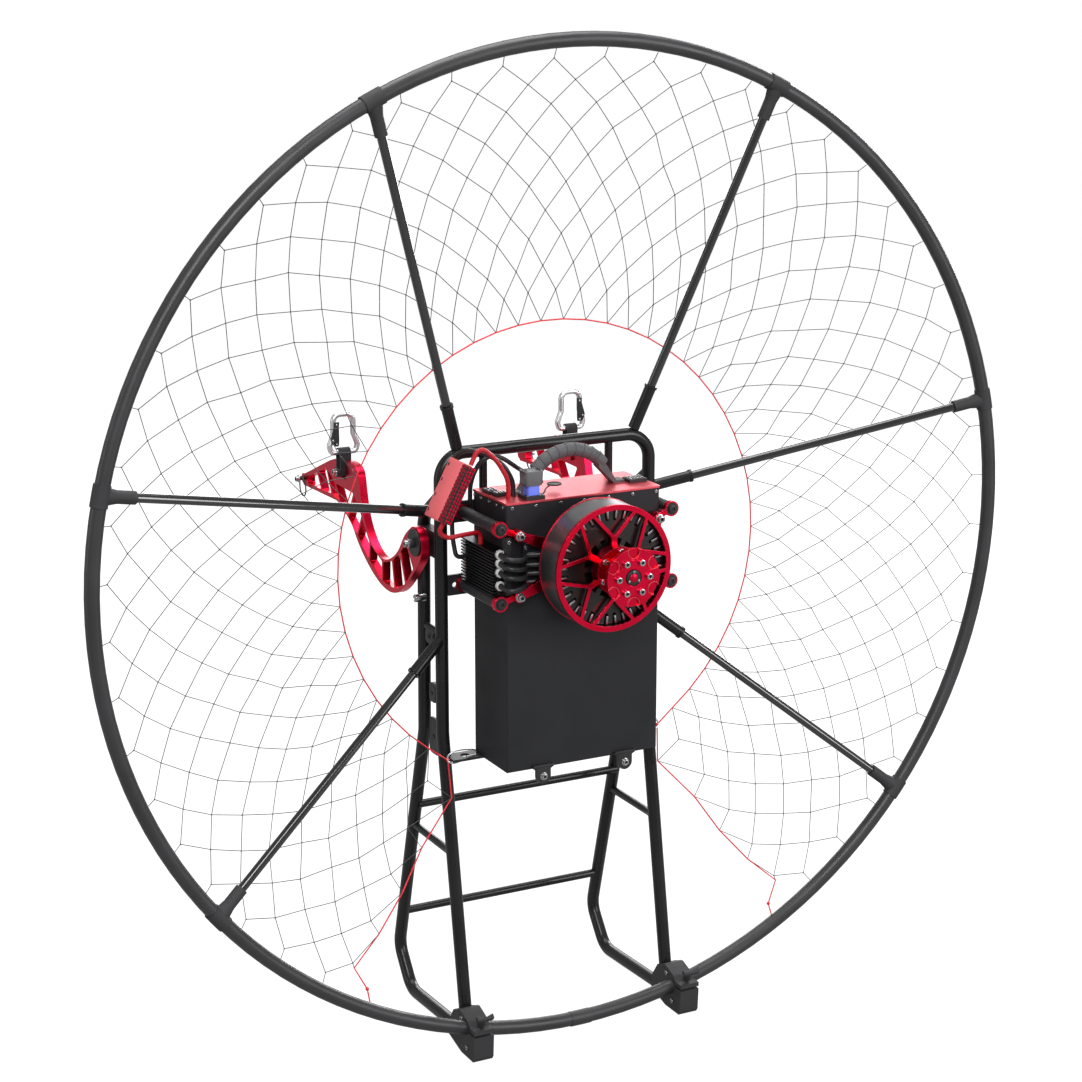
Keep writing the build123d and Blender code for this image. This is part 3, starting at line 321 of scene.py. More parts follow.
# %% [markdown]
# The red pieces are milled aluminium with a deep red anodising. The dye lets the metal shine through, so the
# shader is metallic and the colour is that of its mirror image. Milling leaves fine strokes, and the blasted
# skin under the dye breaks up the reflection. Bare steel and the motor's grey can are made in the same way.

# %% Red anodising and bare metal
def anodised(name, colour, deep, gloss, stroke=(30, 500, 30), depth_mm=0.006, metal=1.0):
    """Milled metal; stroke is how often the milling marks change along each axis."""
    made = Finish(name, Metallic=metal)
    broad = made.noise(22, detail=3)
    grain = made.noise(1800, detail=2)
    strokes = made.noise(6, made.place(stroke), detail=3)
    rounded, edge = edges(made, 0.8)
    # Edges turn to a lighter tint of the colour: partly wear, partly a painted highlight.
    bright = tuple(min(1, c * 1.5 + 0.06) for c in colour)
    dyed = made.blend(colour, deep, made.range(broad, 0.35, 0.75) * 0.6 + strokes * 0.2)
    made.feed(
        Base_Color=made.blend(dyed, bright, edge * 0.6),
        Roughness=(gloss + (grain - 0.5) * 0.16 + (strokes - 0.5) * 0.1).clamped(),
        Normal=made.bump(grain * 0.6 + strokes * 0.4, depth_mm, under=rounded),
    )
    return made.material


# Columns: colour, deeper colour, gloss, strokes, depth of the strokes, share of metal.
METALS = {
    "red_anodised": ((0.82, 0.01, 0.05), (0.58, 0.004, 0.028), 0.28),
    "red_lid": ((0.76, 0.12, 0.15), (0.66, 0.07, 0.095), 0.42, (400, 20, 20)),
    "red_cover": ((0.95, 0.18, 0.2), (0.88, 0.13, 0.15), 0.48, (30, 300, 30), 0.004, 0.2),
    "steel": ((0.46, 0.46, 0.47), (0.3, 0.3, 0.31), 0.22, (300, 300, 20)),
    "bright_steel": ((0.78, 0.78, 0.8), (0.64, 0.64, 0.66), 0.36, (30, 30, 30), 0.001),
    "bell_grey": ((0.29, 0.29, 0.3), (0.18, 0.18, 0.185), 0.34, (2, 700, 2), 0.008),
    "heatsink_black": ((0.03, 0.03, 0.033), (0.018, 0.018, 0.02), 0.42, (20, 20, 500)),
}
FINISHES.update({name: anodised(name, *look) for name, look in METALS.items()})
print("metals", len(METALS))


# %% [markdown]
# ## Copper, cloth and rubber
#
# The windings are enamelled copper, dark and brown. Their strands lie side by side, which one sine wave gives.

# %% Windings
wound = Finish("windings", Metallic=0.3, Coat_Weight=0.25)
strand = wound.axis(wound.place((9000, 9000, 9000)), "Y").sine()
wound.feed(
    Base_Color=wound.blend((0.006, 0.005, 0.005), (0.014, 0.009, 0.008), wound.noise(60) * 0.8 + strand * 0.1),
    Roughness=(0.36 + (wound.noise(300) - 0.5) * 0.2).clamped(),
    Normal=wound.bump(strand, 0.05),
)
FINISHES["windings"] = wound.material

# %% [markdown]
# The webbing of the hang straps is woven: two families of ribs pass over and under each other. Two sine waves,
# one across the other, give the pattern, and their product is the height of the weave.

# %% Webbing
cloth = Finish("webbing", Specular_IOR_Level=0.25, Sheen_Weight=0.25, Sheen_Roughness=0.4)
warp = cloth.axis(cloth.place((4200, 4200, 4200)), "Y").sine()
weft = cloth.axis(cloth.place((2600, 2600, 2600)), "Z").sine()
weave = warp * weft
faded = (weave * 0.4 + 0.5 + (cloth.noise(90) - 0.5) * 0.5).clamped()
cloth.feed(
    Base_Color=cloth.blend((0.012, 0.012, 0.013), (0.034, 0.034, 0.037), faded),
    Roughness=(0.72 + weave * 0.08).clamped(),
    Normal=cloth.bump(weave + cloth.noise(1500) * 0.5, 0.18),
)
FINISHES["webbing"] = cloth.material

# %% [markdown]
# Grip, socket, cables and cords are matt, with a fine grain. The net's cord is a plaited polyester about a
# millimetre thick, of which only a fine change of shade shows. The red cord is brighter.

# %% Grip, socket, cables and cords
def rubber(name, colour, worn, rough=0.55, depth_mm=0.05, grain=900):
    """A soft matt skin with a fine grain."""
    made = Finish(name, Specular_IOR_Level=0.4)
    broad = made.noise(40, detail=3)
    fine = made.noise(grain, detail=2)
    made.feed(
        Base_Color=made.blend(colour, worn, made.range(broad, 0.3, 0.75)),
        Roughness=(rough + (fine - 0.5) * 0.2).clamped(),
        Normal=made.bump(fine, depth_mm),
    )
    return made.material


# Columns: colour, worn colour, roughness, depth of the grain, how fine the grain is.
SKINS = {
    "grip_grey": ((0.072, 0.072, 0.076), (0.11, 0.11, 0.116), 0.6, 0.08),
    "socket_blue": ((0.15, 0.21, 0.95), (0.2, 0.27, 1.0), 0.4, 0.02),
    "red_lead": ((0.5, 0.008, 0.02), (0.4, 0.006, 0.015), 0.38, 0.02),
    "black_lead": ((0.012, 0.012, 0.013), (0.02, 0.02, 0.022), 0.36, 0.02),
    "white_ring": ((0.75, 0.75, 0.74), (0.62, 0.62, 0.6), 0.4, 0.01),
    "net_cord": ((0.05, 0.05, 0.055), (0.1, 0.1, 0.11), 0.7, 0.02, 2500),
    "red_cord": ((0.9, 0.035, 0.055), (0.78, 0.02, 0.035), 0.5, 0.03, 2500),
}
FINISHES.update({name: rubber(name, *look) for name, look in SKINS.items()})
print("finishes", len(FINISHES))

# %% [markdown]
# Each CAD solid already has its place in the list of parts, and the list says which finish it takes. A solid
# that has no detailed piece of its own is finished here in one pass. The spars are of the same black as the
# frame, but polished, and the carabiners are brighter than the bolts.

# %% Finish the CAD solids
OWN_LOOKS = {"spars": "spar_black", "left_carabiner": "bright_steel", "right_carabiner": "bright_steel"}
for row in frame["record"]["subparts"]:
    mesh = nodes[row["node"]].data
    mesh.materials.clear()
    mesh.materials.append(FINISHES[OWN_LOOKS.get(row["node"], row["material_slot"])])
print("finished", len(nodes), "solids")

# %% [markdown]
# ## The net
#
# A net of thin black cord fills the hoop from its inner side down to a red ring cord round the motor. It is
# knotted as diamonds: each knot of one row sits between two knots of the next. At the hoop each outer knot
# hangs on a short tail. The net doesn't lie flat in the hoop's plane but on the front side of the spars, which
# lean forwards to the chassis, so its knots lie on a shallow cone.
#
# A net like this could be a wireframe of a grid, but then every cord would be the same bent strip. Here each
# cord is a run of a curve with a round section, which keeps the knots where they belong.

# %% Rows and columns of knots
COLUMNS = 56
COLUMN_TURN = 360 / COLUMNS
FIRST_COLUMN, LAST_COLUMN = -23, 23
HOOP_INSIDE = 738.5
OUTER_KNOT = 725.0
ROW_SHARES = [0, 0.082, 0.172, 0.265, 0.368, 0.463, 0.571, 0.666, 0.781, 0.877, 1]
LAST_ROW = len(ROW_SHARES) - 1
RING_RADIUS, RING_DROP = 354.0, 17.0
LOOSE_KNOT = 2.2
NET_SLOPE, NET_LIFT = 0.205, 9.5
HOOP_MIDDLE, DIP_START, DIP = 750, 700, 6


def net_depth(radius):
    """Depth of the net at a radius: it leans on the front of the spars and dips towards the hoop's middle."""
    dip = DIP * max(0, (radius - DIP_START) / (HOOP_MIDDLE - DIP_START))
    return (HOOP_MIDDLE - radius) * NET_SLOPE + NET_LIFT - dip


def ring_radius(angle):
    """Distance of the red ring from the motor's axis; the ring hangs a little low."""
    a = math.radians(angle)
    return -RING_DROP * math.cos(a) + math.sqrt(RING_RADIUS ** 2 - (RING_DROP * math.sin(a)) ** 2)


dice = random.Random(7)
knots = {}
for row, share in enumerate(ROW_SHARES):
    shift = 0.5 if row % 2 == 0 else 0.0
    for column in range(FIRST_COLUMN, LAST_COLUMN + 1):
        if row % 2 == 0 and column == LAST_COLUMN:
            continue
        angle = (column + shift) * COLUMN_TURN
        radius = OUTER_KNOT - (OUTER_KNOT - ring_radius(angle)) * share
        loose = 0 if row in (0, LAST_ROW) else LOOSE_KNOT
        angle += math.degrees(dice.uniform(-loose, loose) / radius)
        radius += dice.uniform(-loose, loose)
        knots[row, column] = around(radius, angle, net_depth(radius))
print("knots", len(knots))

# %% [markdown]
# The sector behind the battery stays open. Each side of it is closed by the red cord, which runs from the ring
# over a hook on the chassis, picks up every second knot and ends on the hoop.

# %% The open sector's edges
EDGE_KNOTS = [(703, 0.45), (644, 0.2), (576, 0.0), (505, -0.1), (421, -0.55)]
edge_runs = {}
for side in (-1, 1):
    turns = [(radius, side * (LAST_COLUMN + 0.5 - columns_in) * COLUMN_TURN) for radius, columns_in in EDGE_KNOTS]
    edge_runs[side] = [around(radius, turn, net_depth(radius)) for radius, turn in turns]
print("edge knots", 2 * len(EDGE_KNOTS))


# %% [markdown]
# A cord is a spline of a curve object that has a round section and then becomes a mesh. The same tube tool draws
# smooth leads and closed wire rings later on. A small bead on each crossing is the knot.

# %% Tubes and beads
def smooth_object(name, mesh):
    """An object for a finished mesh, with smooth shading."""
    mesh.name = name
    for face in mesh.polygons:
        face.use_smooth = True
    return link(name, mesh)


def tube(name, routes, diameter, roundness=1, curved=False, closed=False):
    """Round tubes along routes of points, straight from point to point or curved, as one mesh."""
    drawn = bpy.data.curves.new(name, "CURVE")
    drawn.dimensions = "3D"
    drawn.bevel_depth, drawn.bevel_resolution = diameter * MM / 2, roundness
    drawn.use_fill_caps = not closed
    drawn.resolution_u = 8 if closed else 10
    for route in routes:
        spline = drawn.splines.new("NURBS" if curved else "POLY")
        spline.points.add(len(route) - 1)
        for point, place in zip(spline.points, route):
            point.co = (*place, 1)
        if curved:
            spline.order_u, spline.use_cyclic_u, spline.use_endpoint_u = 3, closed, not closed
    holder = link(name, drawn)
    bpy.context.view_layer.update()
    mesh = bpy.data.meshes.new_from_object(holder)
    bpy.data.objects.remove(holder)
    return smooth_object(name, mesh)


def beads(name, places, radius_mm):
    """One low ball, copied to each place and joined."""
    bpy.ops.object.select_all(action="DESELECT")
    bpy.ops.mesh.primitive_ico_sphere_add(subdivisions=1, radius=radius_mm * MM)
    ball = bpy.context.active_object
    corners = [v.co.copy() for v in ball.data.vertices]
    faces = [tuple(f.vertices) for f in ball.data.polygons]
    bpy.data.objects.remove(ball)
    points, polygons = [], []
    for place in places:
        start = len(points)
        points += [place + c for c in corners]
        polygons += [tuple(start + i for i in f) for f in faces]
    mesh = bpy.data.meshes.new(name)
    mesh.from_pydata(points, [], polygons)
    return smooth_object(name, mesh)


# %% [markdown]
# Every side of the net is a run of two points, so that a knot is where four ends meet. The outer knots get their
# tails, and the knots of the open sector's edges tie in the rows that end there.

# %% Net cords
runs = []
for (row, column), place in knots.items():
    if row == 0:
        runs.append([around(HOOP_INSIDE, (column + 0.5) * COLUMN_TURN, 3), place])
    neighbours = (column, column + 1) if row % 2 == 0 else (column - 1, column)
    for other in neighbours:
        if (row + 1, other) in knots:
            runs.append([place, knots[row + 1, other]])
for side, outer in ((-1, FIRST_COLUMN), (1, LAST_COLUMN)):
    for index, place in enumerate(edge_runs[side]):
        for row in (2 * index - 1, 2 * index + 1):
            if (row, outer) in knots:
                runs.append([place, knots[row, outer]])
net = tube("cage_net", runs, 1.25)
net_beads = beads("net_knots", list(knots.values()), 1.35)
print("net sides", len(runs), "triangles", sum(len(p.vertices) - 2 for p in net.data.polygons))

# %% [markdown]
# The red cord passes through the knots of the last row, over both hooks and along the edges of the open sector.
# It's nearly twice as thick as the net's cord, and its four ties are knots of their own.

# %% Red ring cord
SMALL_KNOT, SMALL_KNOT_TURN, CORD_END_TURN = 724, 150.8, 151.4
hooks = [at(side * 183, 84, 449) for side in (-1, 1)]
small_knots = [around(SMALL_KNOT, side * SMALL_KNOT_TURN, net_depth(SMALL_KNOT)) for side in (-1, 1)]
ring = [knots[LAST_ROW, column] for column in range(FIRST_COLUMN, LAST_COLUMN)]
red_runs = [[hooks[0]] + ring + [hooks[1]]]
for side, hook, small_knot in zip((-1, 1), hooks, small_knots):
    cord_end = around(HOOP_INSIDE, side * CORD_END_TURN, 2)
    red_runs.append([hook] + edge_runs[side][::-1] + [small_knot, cord_end])
ring_cord = tube("ring_cord", red_runs, 2.3, 2)
red_beads = beads("ring_cord_knots", hooks + small_knots, 3.2)
for piece, finish, slot in (
    (net, "net_cord", "webbing"), (net_beads, "net_cord", "webbing"),
    (ring_cord, "red_cord", "red_lead"), (red_beads, "red_cord", "red_lead"),
):
    piece.data.materials.append(FINISHES[finish])
    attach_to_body(piece, "airframe")
print("red runs", len(red_runs))

# %% [markdown]
# ## Hand tools for new pieces
#
# The rest is modelled as by hand: a primitive at its size and place, edited, and then moved into its own mesh,
# so that every finished piece's object sits at the origin. cylinder and block make the primitives. pick selects
# faces or edges by a test on their middle and their direction, and the steps after it work on what it picked,
# until done. attach joins pieces into one, with its finish, its body and the CAD nodes that it replaces.

# %% Modelling helpers
def begin():
    """Leaves edit mode and selects nothing."""
    if bpy.context.object and bpy.context.object.mode != "OBJECT":
        bpy.ops.object.mode_set(mode="OBJECT")
    bpy.ops.object.select_all(action="DESELECT")


def cylinder(radius_mm, length_mm, sides=32, middle=(0, 0, 0)):
    """A cylinder along z, its middle given in metres."""
    begin()
    bpy.ops.mesh.primitive_cylinder_add(vertices=sides, radius=radius_mm * MM, depth=length_mm * MM, location=middle)
    bpy.ops.object.transform_apply(location=True)
    return bpy.context.active_object


def block(size_mm, middle=(0, 0, 0)):
    """A box, its middle given in metres."""
    begin()
    bpy.ops.mesh.primitive_cube_add(size=1, location=middle)
    bpy.context.active_object.scale = Vector(size_mm) * MM
    bpy.ops.object.transform_apply(location=True, scale=True)
    return bpy.context.active_object


def top(middle, way): return way.z > 0.9
def bottom(middle, way): return way.z < -0.9
def upright(middle, way): return abs(way.z) > 0.9
def sideways(middle, way): return abs(way.x) > 0.9
def lengthways(middle, way): return abs(way.y) > 0.9


def middle_and_way(part):
    """Where a face or an edge is, and which way it faces or runs."""
    if isinstance(part, bmesh.types.BMFace):
        return part.calc_center_median(), part.normal
    first, second = (vert.co for vert in part.verts)
    return (first + second) / 2, (second - first).normalized()


def pick(test, kind="FACE"):
    """Selects the active mesh's faces or edges that pass the test, and leaves edit mode on."""
    mesh = bpy.context.active_object.data
    bpy.ops.object.mode_set(mode="EDIT")
    bpy.ops.mesh.select_mode(type=kind)
    shape = bmesh.from_edit_mesh(mesh)
    for part in list(shape.faces) + list(shape.edges) + list(shape.verts):
        part.select = False
    for part in shape.faces if kind == "FACE" else shape.edges:
        if test(*middle_and_way(part)):
            part.select_set(True)
    bmesh.update_edit_mesh(mesh)


def inset(mm, **more): bpy.ops.mesh.inset(thickness=mm * MM, **more)
def move(x, y, z): bpy.ops.transform.translate(value=(x * MM, y * MM, z * MM))
def sink(mm): bpy.ops.mesh.extrude_region_move(TRANSFORM_OT_translate={"value": (0, 0, -mm * MM)})
def scale(x, y, z): bpy.ops.transform.resize(value=(x, y, z))
def round_edges(mm, segments): bpy.ops.mesh.bevel(offset=mm * MM, segments=segments)
def done(): bpy.ops.object.mode_set(mode="OBJECT")


def shape_top(rim_mm, rise_mm=0.0, lip_mm=0.0, depth_mm=0.0):
    """Insets the top face and lifts it, then may inset it again and push it in."""
    pick(top)
    inset(rim_mm)
    if rise_mm:
        move(0, 0, rise_mm)
    if lip_mm:
        inset(lip_mm)
    if depth_mm:
        sink(depth_mm)
    done()


def cut_across(point, facing, **more):
    """Cuts the whole active mesh along a plane, which leaves a loop of edges."""
    bpy.ops.object.mode_set(mode="EDIT")
    bpy.ops.mesh.select_all(action="SELECT")
    bpy.ops.mesh.bisect(plane_co=point, plane_no=facing, **more)
    done()


def paint(piece, *looks):
    for look in looks:
        piece.data.materials.append(FINISHES[look])


def smooth(angle=35):
    bpy.ops.object.shade_smooth_by_angle(angle=math.radians(angle))


def rounded(piece, width_mm, segments=2, angle=40, smooth_angle=35):
    """Bevels the edges of the piece that are sharper than an angle, and smooths its shading."""
    cut = piece.modifiers.new("bevel", "BEVEL")
    cut.width, cut.segments, cut.limit_method = width_mm * MM, segments, "ANGLE"
    cut.angle_limit = math.radians(angle)
    bpy.context.view_layer.objects.active = piece
    bpy.ops.object.modifier_apply(modifier=cut.name)
    smooth(smooth_angle)
    return piece


def twins(pattern, matrices):
    """Copies of a piece, each with its own mesh, in place of the piece itself."""
    made = []
    for matrix in matrices:
        twin = pattern.copy()
        twin.data = pattern.data.copy()
        bpy.context.scene.collection.objects.link(twin)
        twin.matrix_world = matrix
        made.append(twin)
    bpy.data.objects.remove(pattern)
    return made


def on_axis(radius, degrees, y):
    """The turn and the place of a twin round the motor's axis."""
    return Matrix.Translation(around(radius, degrees, y)) @ Matrix.Rotation(math.radians(degrees), 4, "Y")


def copies(pattern, places):
    """Copies of a piece made along +Z, each at a place and facing a way."""
    turns = [(place, Vector(way).to_track_quat("Z", "Y").to_matrix().to_4x4()) for place, way in places]
    return twins(pattern, [Matrix.Translation(place) @ turn for place, turn in turns])


def join(name, pieces, finish=None):
    """Joins pieces into one named object; a finish takes the place of what they had."""
    begin()
    for piece in pieces:
        piece.select_set(True)
    bpy.context.view_layer.objects.active = pieces[0]
    if len(pieces) > 1:
        bpy.ops.object.join()
    made = bpy.context.active_object
    bpy.ops.object.transform_apply(location=True, rotation=True, scale=True)
    made.name = made.data.name = name
    if finish:
        made.data.materials.clear()
        paint(made, finish)
    return made


def attach(name, pieces, finish=None, body="airframe", replaces=()):
    """Joins pieces into one that rides on a body, with a finish in place of theirs if one is given."""
    made = join(name, pieces, finish)
    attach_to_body(made, body)
    if replaces:
        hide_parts(*replaces)
    return made


# %% [markdown]
# ## Screws
#
# The silver screws are socket heads: a short cylinder with a chamfer and a hexagonal hole. The hole is an inset
# of the top face that is pushed in, its ring of corners drawn onto a hexagon, and its inside is painted black as
# painted shade. A washer under the head is a thin ring. One screw is modelled at the origin and copied to each place.

# %% A socket screw
def socket_screw(radius_mm, height_mm, washer_mm=0.0, finish="steel"):
    """A screw that stands on the origin along +Z."""
    r, h, w = radius_mm * MM, height_mm * MM, washer_mm * MM
    head = cylinder(radius_mm, height_mm, 24, (0, 0, h / 2 + w))
    pick(top)
    inset(radius_mm * 0.14)
    move(0, 0, radius_mm * 0.08)
    inset(radius_mm * 0.30)
    shape = bmesh.from_edit_mesh(head.data)
    for face in [f for f in shape.faces if f.select]:
        for vert in face.verts:
            turn = math.atan2(vert.co.y, vert.co.x)
            reach = r * 0.50 / math.cos((turn % math.radians(60)) - math.radians(30))
            vert.co.x, vert.co.y = reach * math.cos(turn), reach * math.sin(turn)
    bmesh.update_edit_mesh(head.data)
    sink(height_mm * 0.55)
    done()
    # Painted shade: the faces inside the hexagonal hole take the black finish.
    paint(head, finish, "contact_black")
    for face in head.data.polygons:
        if math.hypot(face.center.x, face.center.y) < r * 0.55 and face.center.z < h + w:
            face.material_index = 1
    parts = [head]
    if washer_mm:
        washer = cylinder(radius_mm * 1.35, washer_mm, 24, (0, 0, w / 2))
        paint(washer, finish)
        shape_top(radius_mm * 0.12, radius_mm * 0.05)
        parts.append(washer)
    screw = join("screw", parts)
    smooth()
    return screw


def screws(name, spots, radius_mm, height_mm, washer_mm=0.0, body="airframe", finish="steel", replaces=()):
    """Socket screws of one size on all the spots, as one piece."""
    screw = socket_screw(radius_mm, height_mm, washer_mm, finish)
    attach(name, copies(screw, spots), body=body, replaces=replaces)


# %% [markdown]
# Each screw then goes where its plate, lid or flange has a hole, and faces the way that it's driven from. A group
# of like screws is one piece, and it replaces the plain bolts of the CAD model if that has any.

# %% Screws of the motor and the battery
REAR, LEFT, RIGHT, UP, FRONT = (0, -1, 0), (-1, 0, 0), (1, 0, 0), (0, 0, 1), (0, 1, 0)
FLANGE_REAR, HUB_REAR, CRADLE_REAR, STANDOFF_REAR = -158, -117, -29, -19.6
LID_SCREWS_Z, LID_HALF_WIDTH = 854, 128.7
HOOK_PLATE_X, HOOK_PLATE_Z = 70, 436

spots = [(around(25, turn, FLANGE_REAR), REAR) for turn in range(30, 360, 60)]
screws("propeller_screws", spots, 4.7, 4.6, body="rotor", replaces=["prop_bolts"])

spots = [(around(29, turn, HUB_REAR), REAR) for turn in range(5, 360, 60)]
screws("hub_screws", spots, 3.4, 7.0, 0.8, body="rotor")

spots = [(at(x, CRADLE_REAR, AXIS_Z + z), REAR) for x in (-117, 117) for z in (-46, 46)]
screws("cradle_screws", spots, 5.2, 6.0, 1.6, replaces=["cradle_bolts"])

spots = [(at(x, STANDOFF_REAR, AXIS_Z + z), REAR) for x in (-143.5, 143.5) for z in (-56, 56)]
screws("standoff_screws", spots, 6.2, 3.6, finish="black_bolt")

spots = [(at(x, -8, LID_SCREWS_Z), REAR) for x in (-119, -80, -39, 0, 41, 82, 122)]
for side, out in ((-1, LEFT), (1, RIGHT)):
    spots += [(at(side * LID_HALF_WIDTH, y, LID_SCREWS_Z), out) for y in (96, 75, 48, 24, 2)]
spots += [(at(x, 102, LID_SCREWS_Z), FRONT) for x in (-80, -39, 0, 41, 80)]
screws("lid_screws", spots, 2.6, 1.3)

spots = [(at(-132.2, -22.4, z), REAR) for z in (808, 734)]
spots += [(at(-101, -16, z), REAR) for z in (795, 781, 767, 754, 742)]
screws("terminal_screws", spots, 2.9, 2.4)

spots = [(at(side * HOOK_PLATE_X, -14, HOOK_PLATE_Z), REAR) for side in (-1, 1)]
screws("tray_screws", spots, 4.6, 3.0, 1.0)
print("screws made")

# %% [markdown]
# The arm's pivot is a black disc with a big screw that stands well out of it, on a spacer, and both arms have a
# screw through their tip that also holds a wire ring for the speed bar line. Screws and rings of the arms ride
# with the arms.

# %% Pivot, strap and tip screws
SIDES = ((-1, "left", LEFT), (1, "right", RIGHT))
ARM_OUT = 207
PIVOT, TIP, STRAP_BOLT = (142, 779), (583.5, 788), (418, 832.8)
STRAP_BOLT_OUT = 217.6
for side, name, out in SIDES:
    spacer = cylinder(7.4, 9)
    pick(upright)
    inset(1.2)
    done()
    rounded(spacer, 0.8)
    spots = [(at(side * (ARM_OUT + 7), *PIVOT), out)]
    attach(name + "_pivot_spacer", copies(spacer, spots), "satin_black")
    screws(name + "_pivot_screw", [(at(side * (ARM_OUT + 11.4), *PIVOT), out)], 5.2, 5.2, 0.6)
    spots = [(at(side * (ARM_OUT + 8.4), *TIP), out), (at(side * STRAP_BOLT_OUT, *STRAP_BOLT), out)]
    screws(name + "_arm_screws", spots, 4.6, 4.6, 0.8, body=name + "_arm_body")
    print(name, "arm screws")

# %% [markdown]
# ## Teeth of the core
#
# An outrunner motor turns its outer drum round a still core. The core's teeth reach out to the drum, and between
# the spokes their ends show as a ring of narrow bars over the dark coils. One tooth is a slim block with its ends
# drawn in and its edges bevelled. It's modelled once, at the top of the core, and copied round the axis.

# %% Teeth
TEETH, TEETH_RADIUS, TEETH_Y = 36, 79.5, -87
tooth = block((3.6, 12, 13))
pick(lengthways)
inset(0.9)
scale(1, 1.06, 1)
done()
rounded(tooth, 0.7, 2, smooth_angle=60)
stands = [on_axis(TEETH_RADIUS, (number + 0.5) * 360 / TEETH, TEETH_Y) for number in range(TEETH)]
attach("stator_teeth", twins(tooth, stands), "bell_grey")
print("teeth", TEETH)

# %% [markdown]
# The shaft's end shows in the middle of the propeller flange: a black ring with three small screws in it and a
# red core. The ring is a cylinder whose rear face is inset and pushed in, and the core stands in it.

# %% Shaft end
collar = cylinder(11.6, 3, 48)
shape_top(1.2, 0.6, 3.6, 1.6)
rounded(collar, 0.3, 1)
spots = [(at(0, -157, AXIS_Z), REAR)]
attach("shaft_ring", copies(collar, spots), "contact_black", body="rotor")
core = cylinder(6.5, 3.2, 48)
shape_top(0.8, 0.5)
rounded(core, 0.3, 1)
spots = [(at(0, -157.6, AXIS_Z), REAR)]
attach("shaft_core", copies(core, spots), "red_anodised", body="rotor")
screws("shaft_screws", [(around(9.0, turn, -158.6), REAR) for turn in (0, 120, 240)], 1.9, 1.4, body="rotor")
print("shaft end made")

# %% [markdown]
# ## Motor leads and controller outlets
#
# Four thick black leads leave the controller through white collars, bend round a clamp strip and run on behind
# the bell to the motor. Each is one smooth curve with a round section. A curve follows its points by itself, so a
# few points are enough for one lead.

# %% Leads
LEAD_STARTS, LEAD_ENDS = (788, 775, 761, 741), (783, 768, 755, 742)
bends, sleeves = [], []
for start, end in zip(LEAD_STARTS, LEAD_ENDS):
    bends.append([
        at(-141, -12, start), at(-141, -24, start - 1), at(-139, -36, start - 3), at(-122, -40, (start + end) / 2 - 2),
        at(-110, -32, end), at(-106, -22, end), at(-104, -14, end),
    ])
    sleeves.append([
        at(-97, -13, end), at(-84, -20, end + 1), at(-66, -27, end), at(-44, -30, end - 2), at(-30, -34, end - 2),
    ])
leads = tube("phase_leads", bends, 8.4, 4, curved=True)
attach("phase_leads", [leads], "black_lead", replaces=["phase_cables"])
leads = tube("motor_leads", sleeves, 9.0, 4, curved=True)
attach("motor_leads", [leads], "black_lead")

collar = cylinder(7.2, 6)
shape_top(1.0, 0.7, 1.4, 2)
rounded(collar, 0.4, 2)
spots = [(at(-141, -12, start), REAR) for start in LEAD_STARTS]
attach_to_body(join("outlet_collars", copies(collar, spots), "white_ring"), "airframe")
print("leads", len(LEAD_STARTS))

# %% [markdown]
# The propeller flange has six shallow pockets between its screws. Their rims take the lighter red of the lid, a
# painted highlight. A rim is half a ring: a torus, cut through its middle by a bisect, lies on the face round each
# pocket.

# %% Pocket rims
POCKET_REACH = 38.5
begin()
bpy.ops.mesh.primitive_torus_add(major_radius=9.6 * MM, minor_radius=0.55 * MM, major_segments=40, minor_segments=8)
rim = bpy.context.active_object
cut_across((0, 4.6 * MM, 0), (0, 1, 0), clear_outer=True, use_fill=True)
smooth(60)
upright_rim = Matrix.Rotation(math.radians(90), 4, "X")
stands = [on_axis(POCKET_REACH, turn, FLANGE_REAR) @ upright_rim for turn in range(0, 360, 60)]
# The lighter red of the rims is a painted highlight.
attach("flange_rims", twins(rim, stands), "red_lid", body="rotor")
print("rims", len(stands))

# %% [markdown]
# ## The battery's top
#
# The carrying handle is a padded bow with tape wound round it. The tape is modelled as one slightly conical
# band, and bands are set along the bow so that each runs under the next. The bow is an arc, so its centre is
# found from three points of it.

# %% Tape on the handle
def circle_through(first, second, third):
    """Centre and radius of a circle through three points given as (x, z)."""
    (ax, az), (bx, bz), (cx, cz) = first, second, third
    d = 2 * (ax * (bz - cz) + bx * (cz - az) + cx * (az - bz))
    a, b, c = ax * ax + az * az, bx * bx + bz * bz, cx * cx + cz * cz
    x = (a * (bz - cz) + b * (cz - az) + c * (az - bz)) / d
    z = (a * (cx - bx) + b * (ax - cx) + c * (bx - ax)) / d
    return x, z, math.hypot(ax - x, az - z)


LID_TOP, GRIP_Y, BANDS = 862, 47, 9
grip_left, grip_middle, grip_right = (-52, LID_TOP + 32), (5, LID_TOP + 57), (60, LID_TOP + 31)
bow_x, bow_z, bow_radius = circle_through(grip_left, grip_middle, grip_right)
first_turn, last_turn = (math.atan2(x - bow_x, z - bow_z) for x, z in (grip_left, grip_right))
band_length = bow_radius * (last_turn - first_turn) / BANDS
band = cylinder(10.9, band_length * 1.16)
pick(top)
scale(0.90, 0.90, 1)
inset(1.5)
done()
pick(bottom)
inset(1.5)
done()
rounded(band, 0.5, 2)
spots = []
for number in range(BANDS):
    turn = first_turn + (last_turn - first_turn) * (number + 0.5) / BANDS
    spot = at(bow_x + bow_radius * math.sin(turn), GRIP_Y, bow_z + bow_radius * math.cos(turn))
    spots.append((spot, (math.cos(turn), 0, -math.sin(turn))))
attach("handle_tape", copies(band, spots), "grip_grey")
print("bow radius", round(bow_radius, 1), "band", round(band_length, 1))

# %% [markdown]
# The battery's plug is a moulded cap on a blue socket. A cube takes its size from the CAD piece that it stands
# for. Its upright edges get a wide bevel and its top a small one, and grooves for the fingers are pressed into
# its sides.

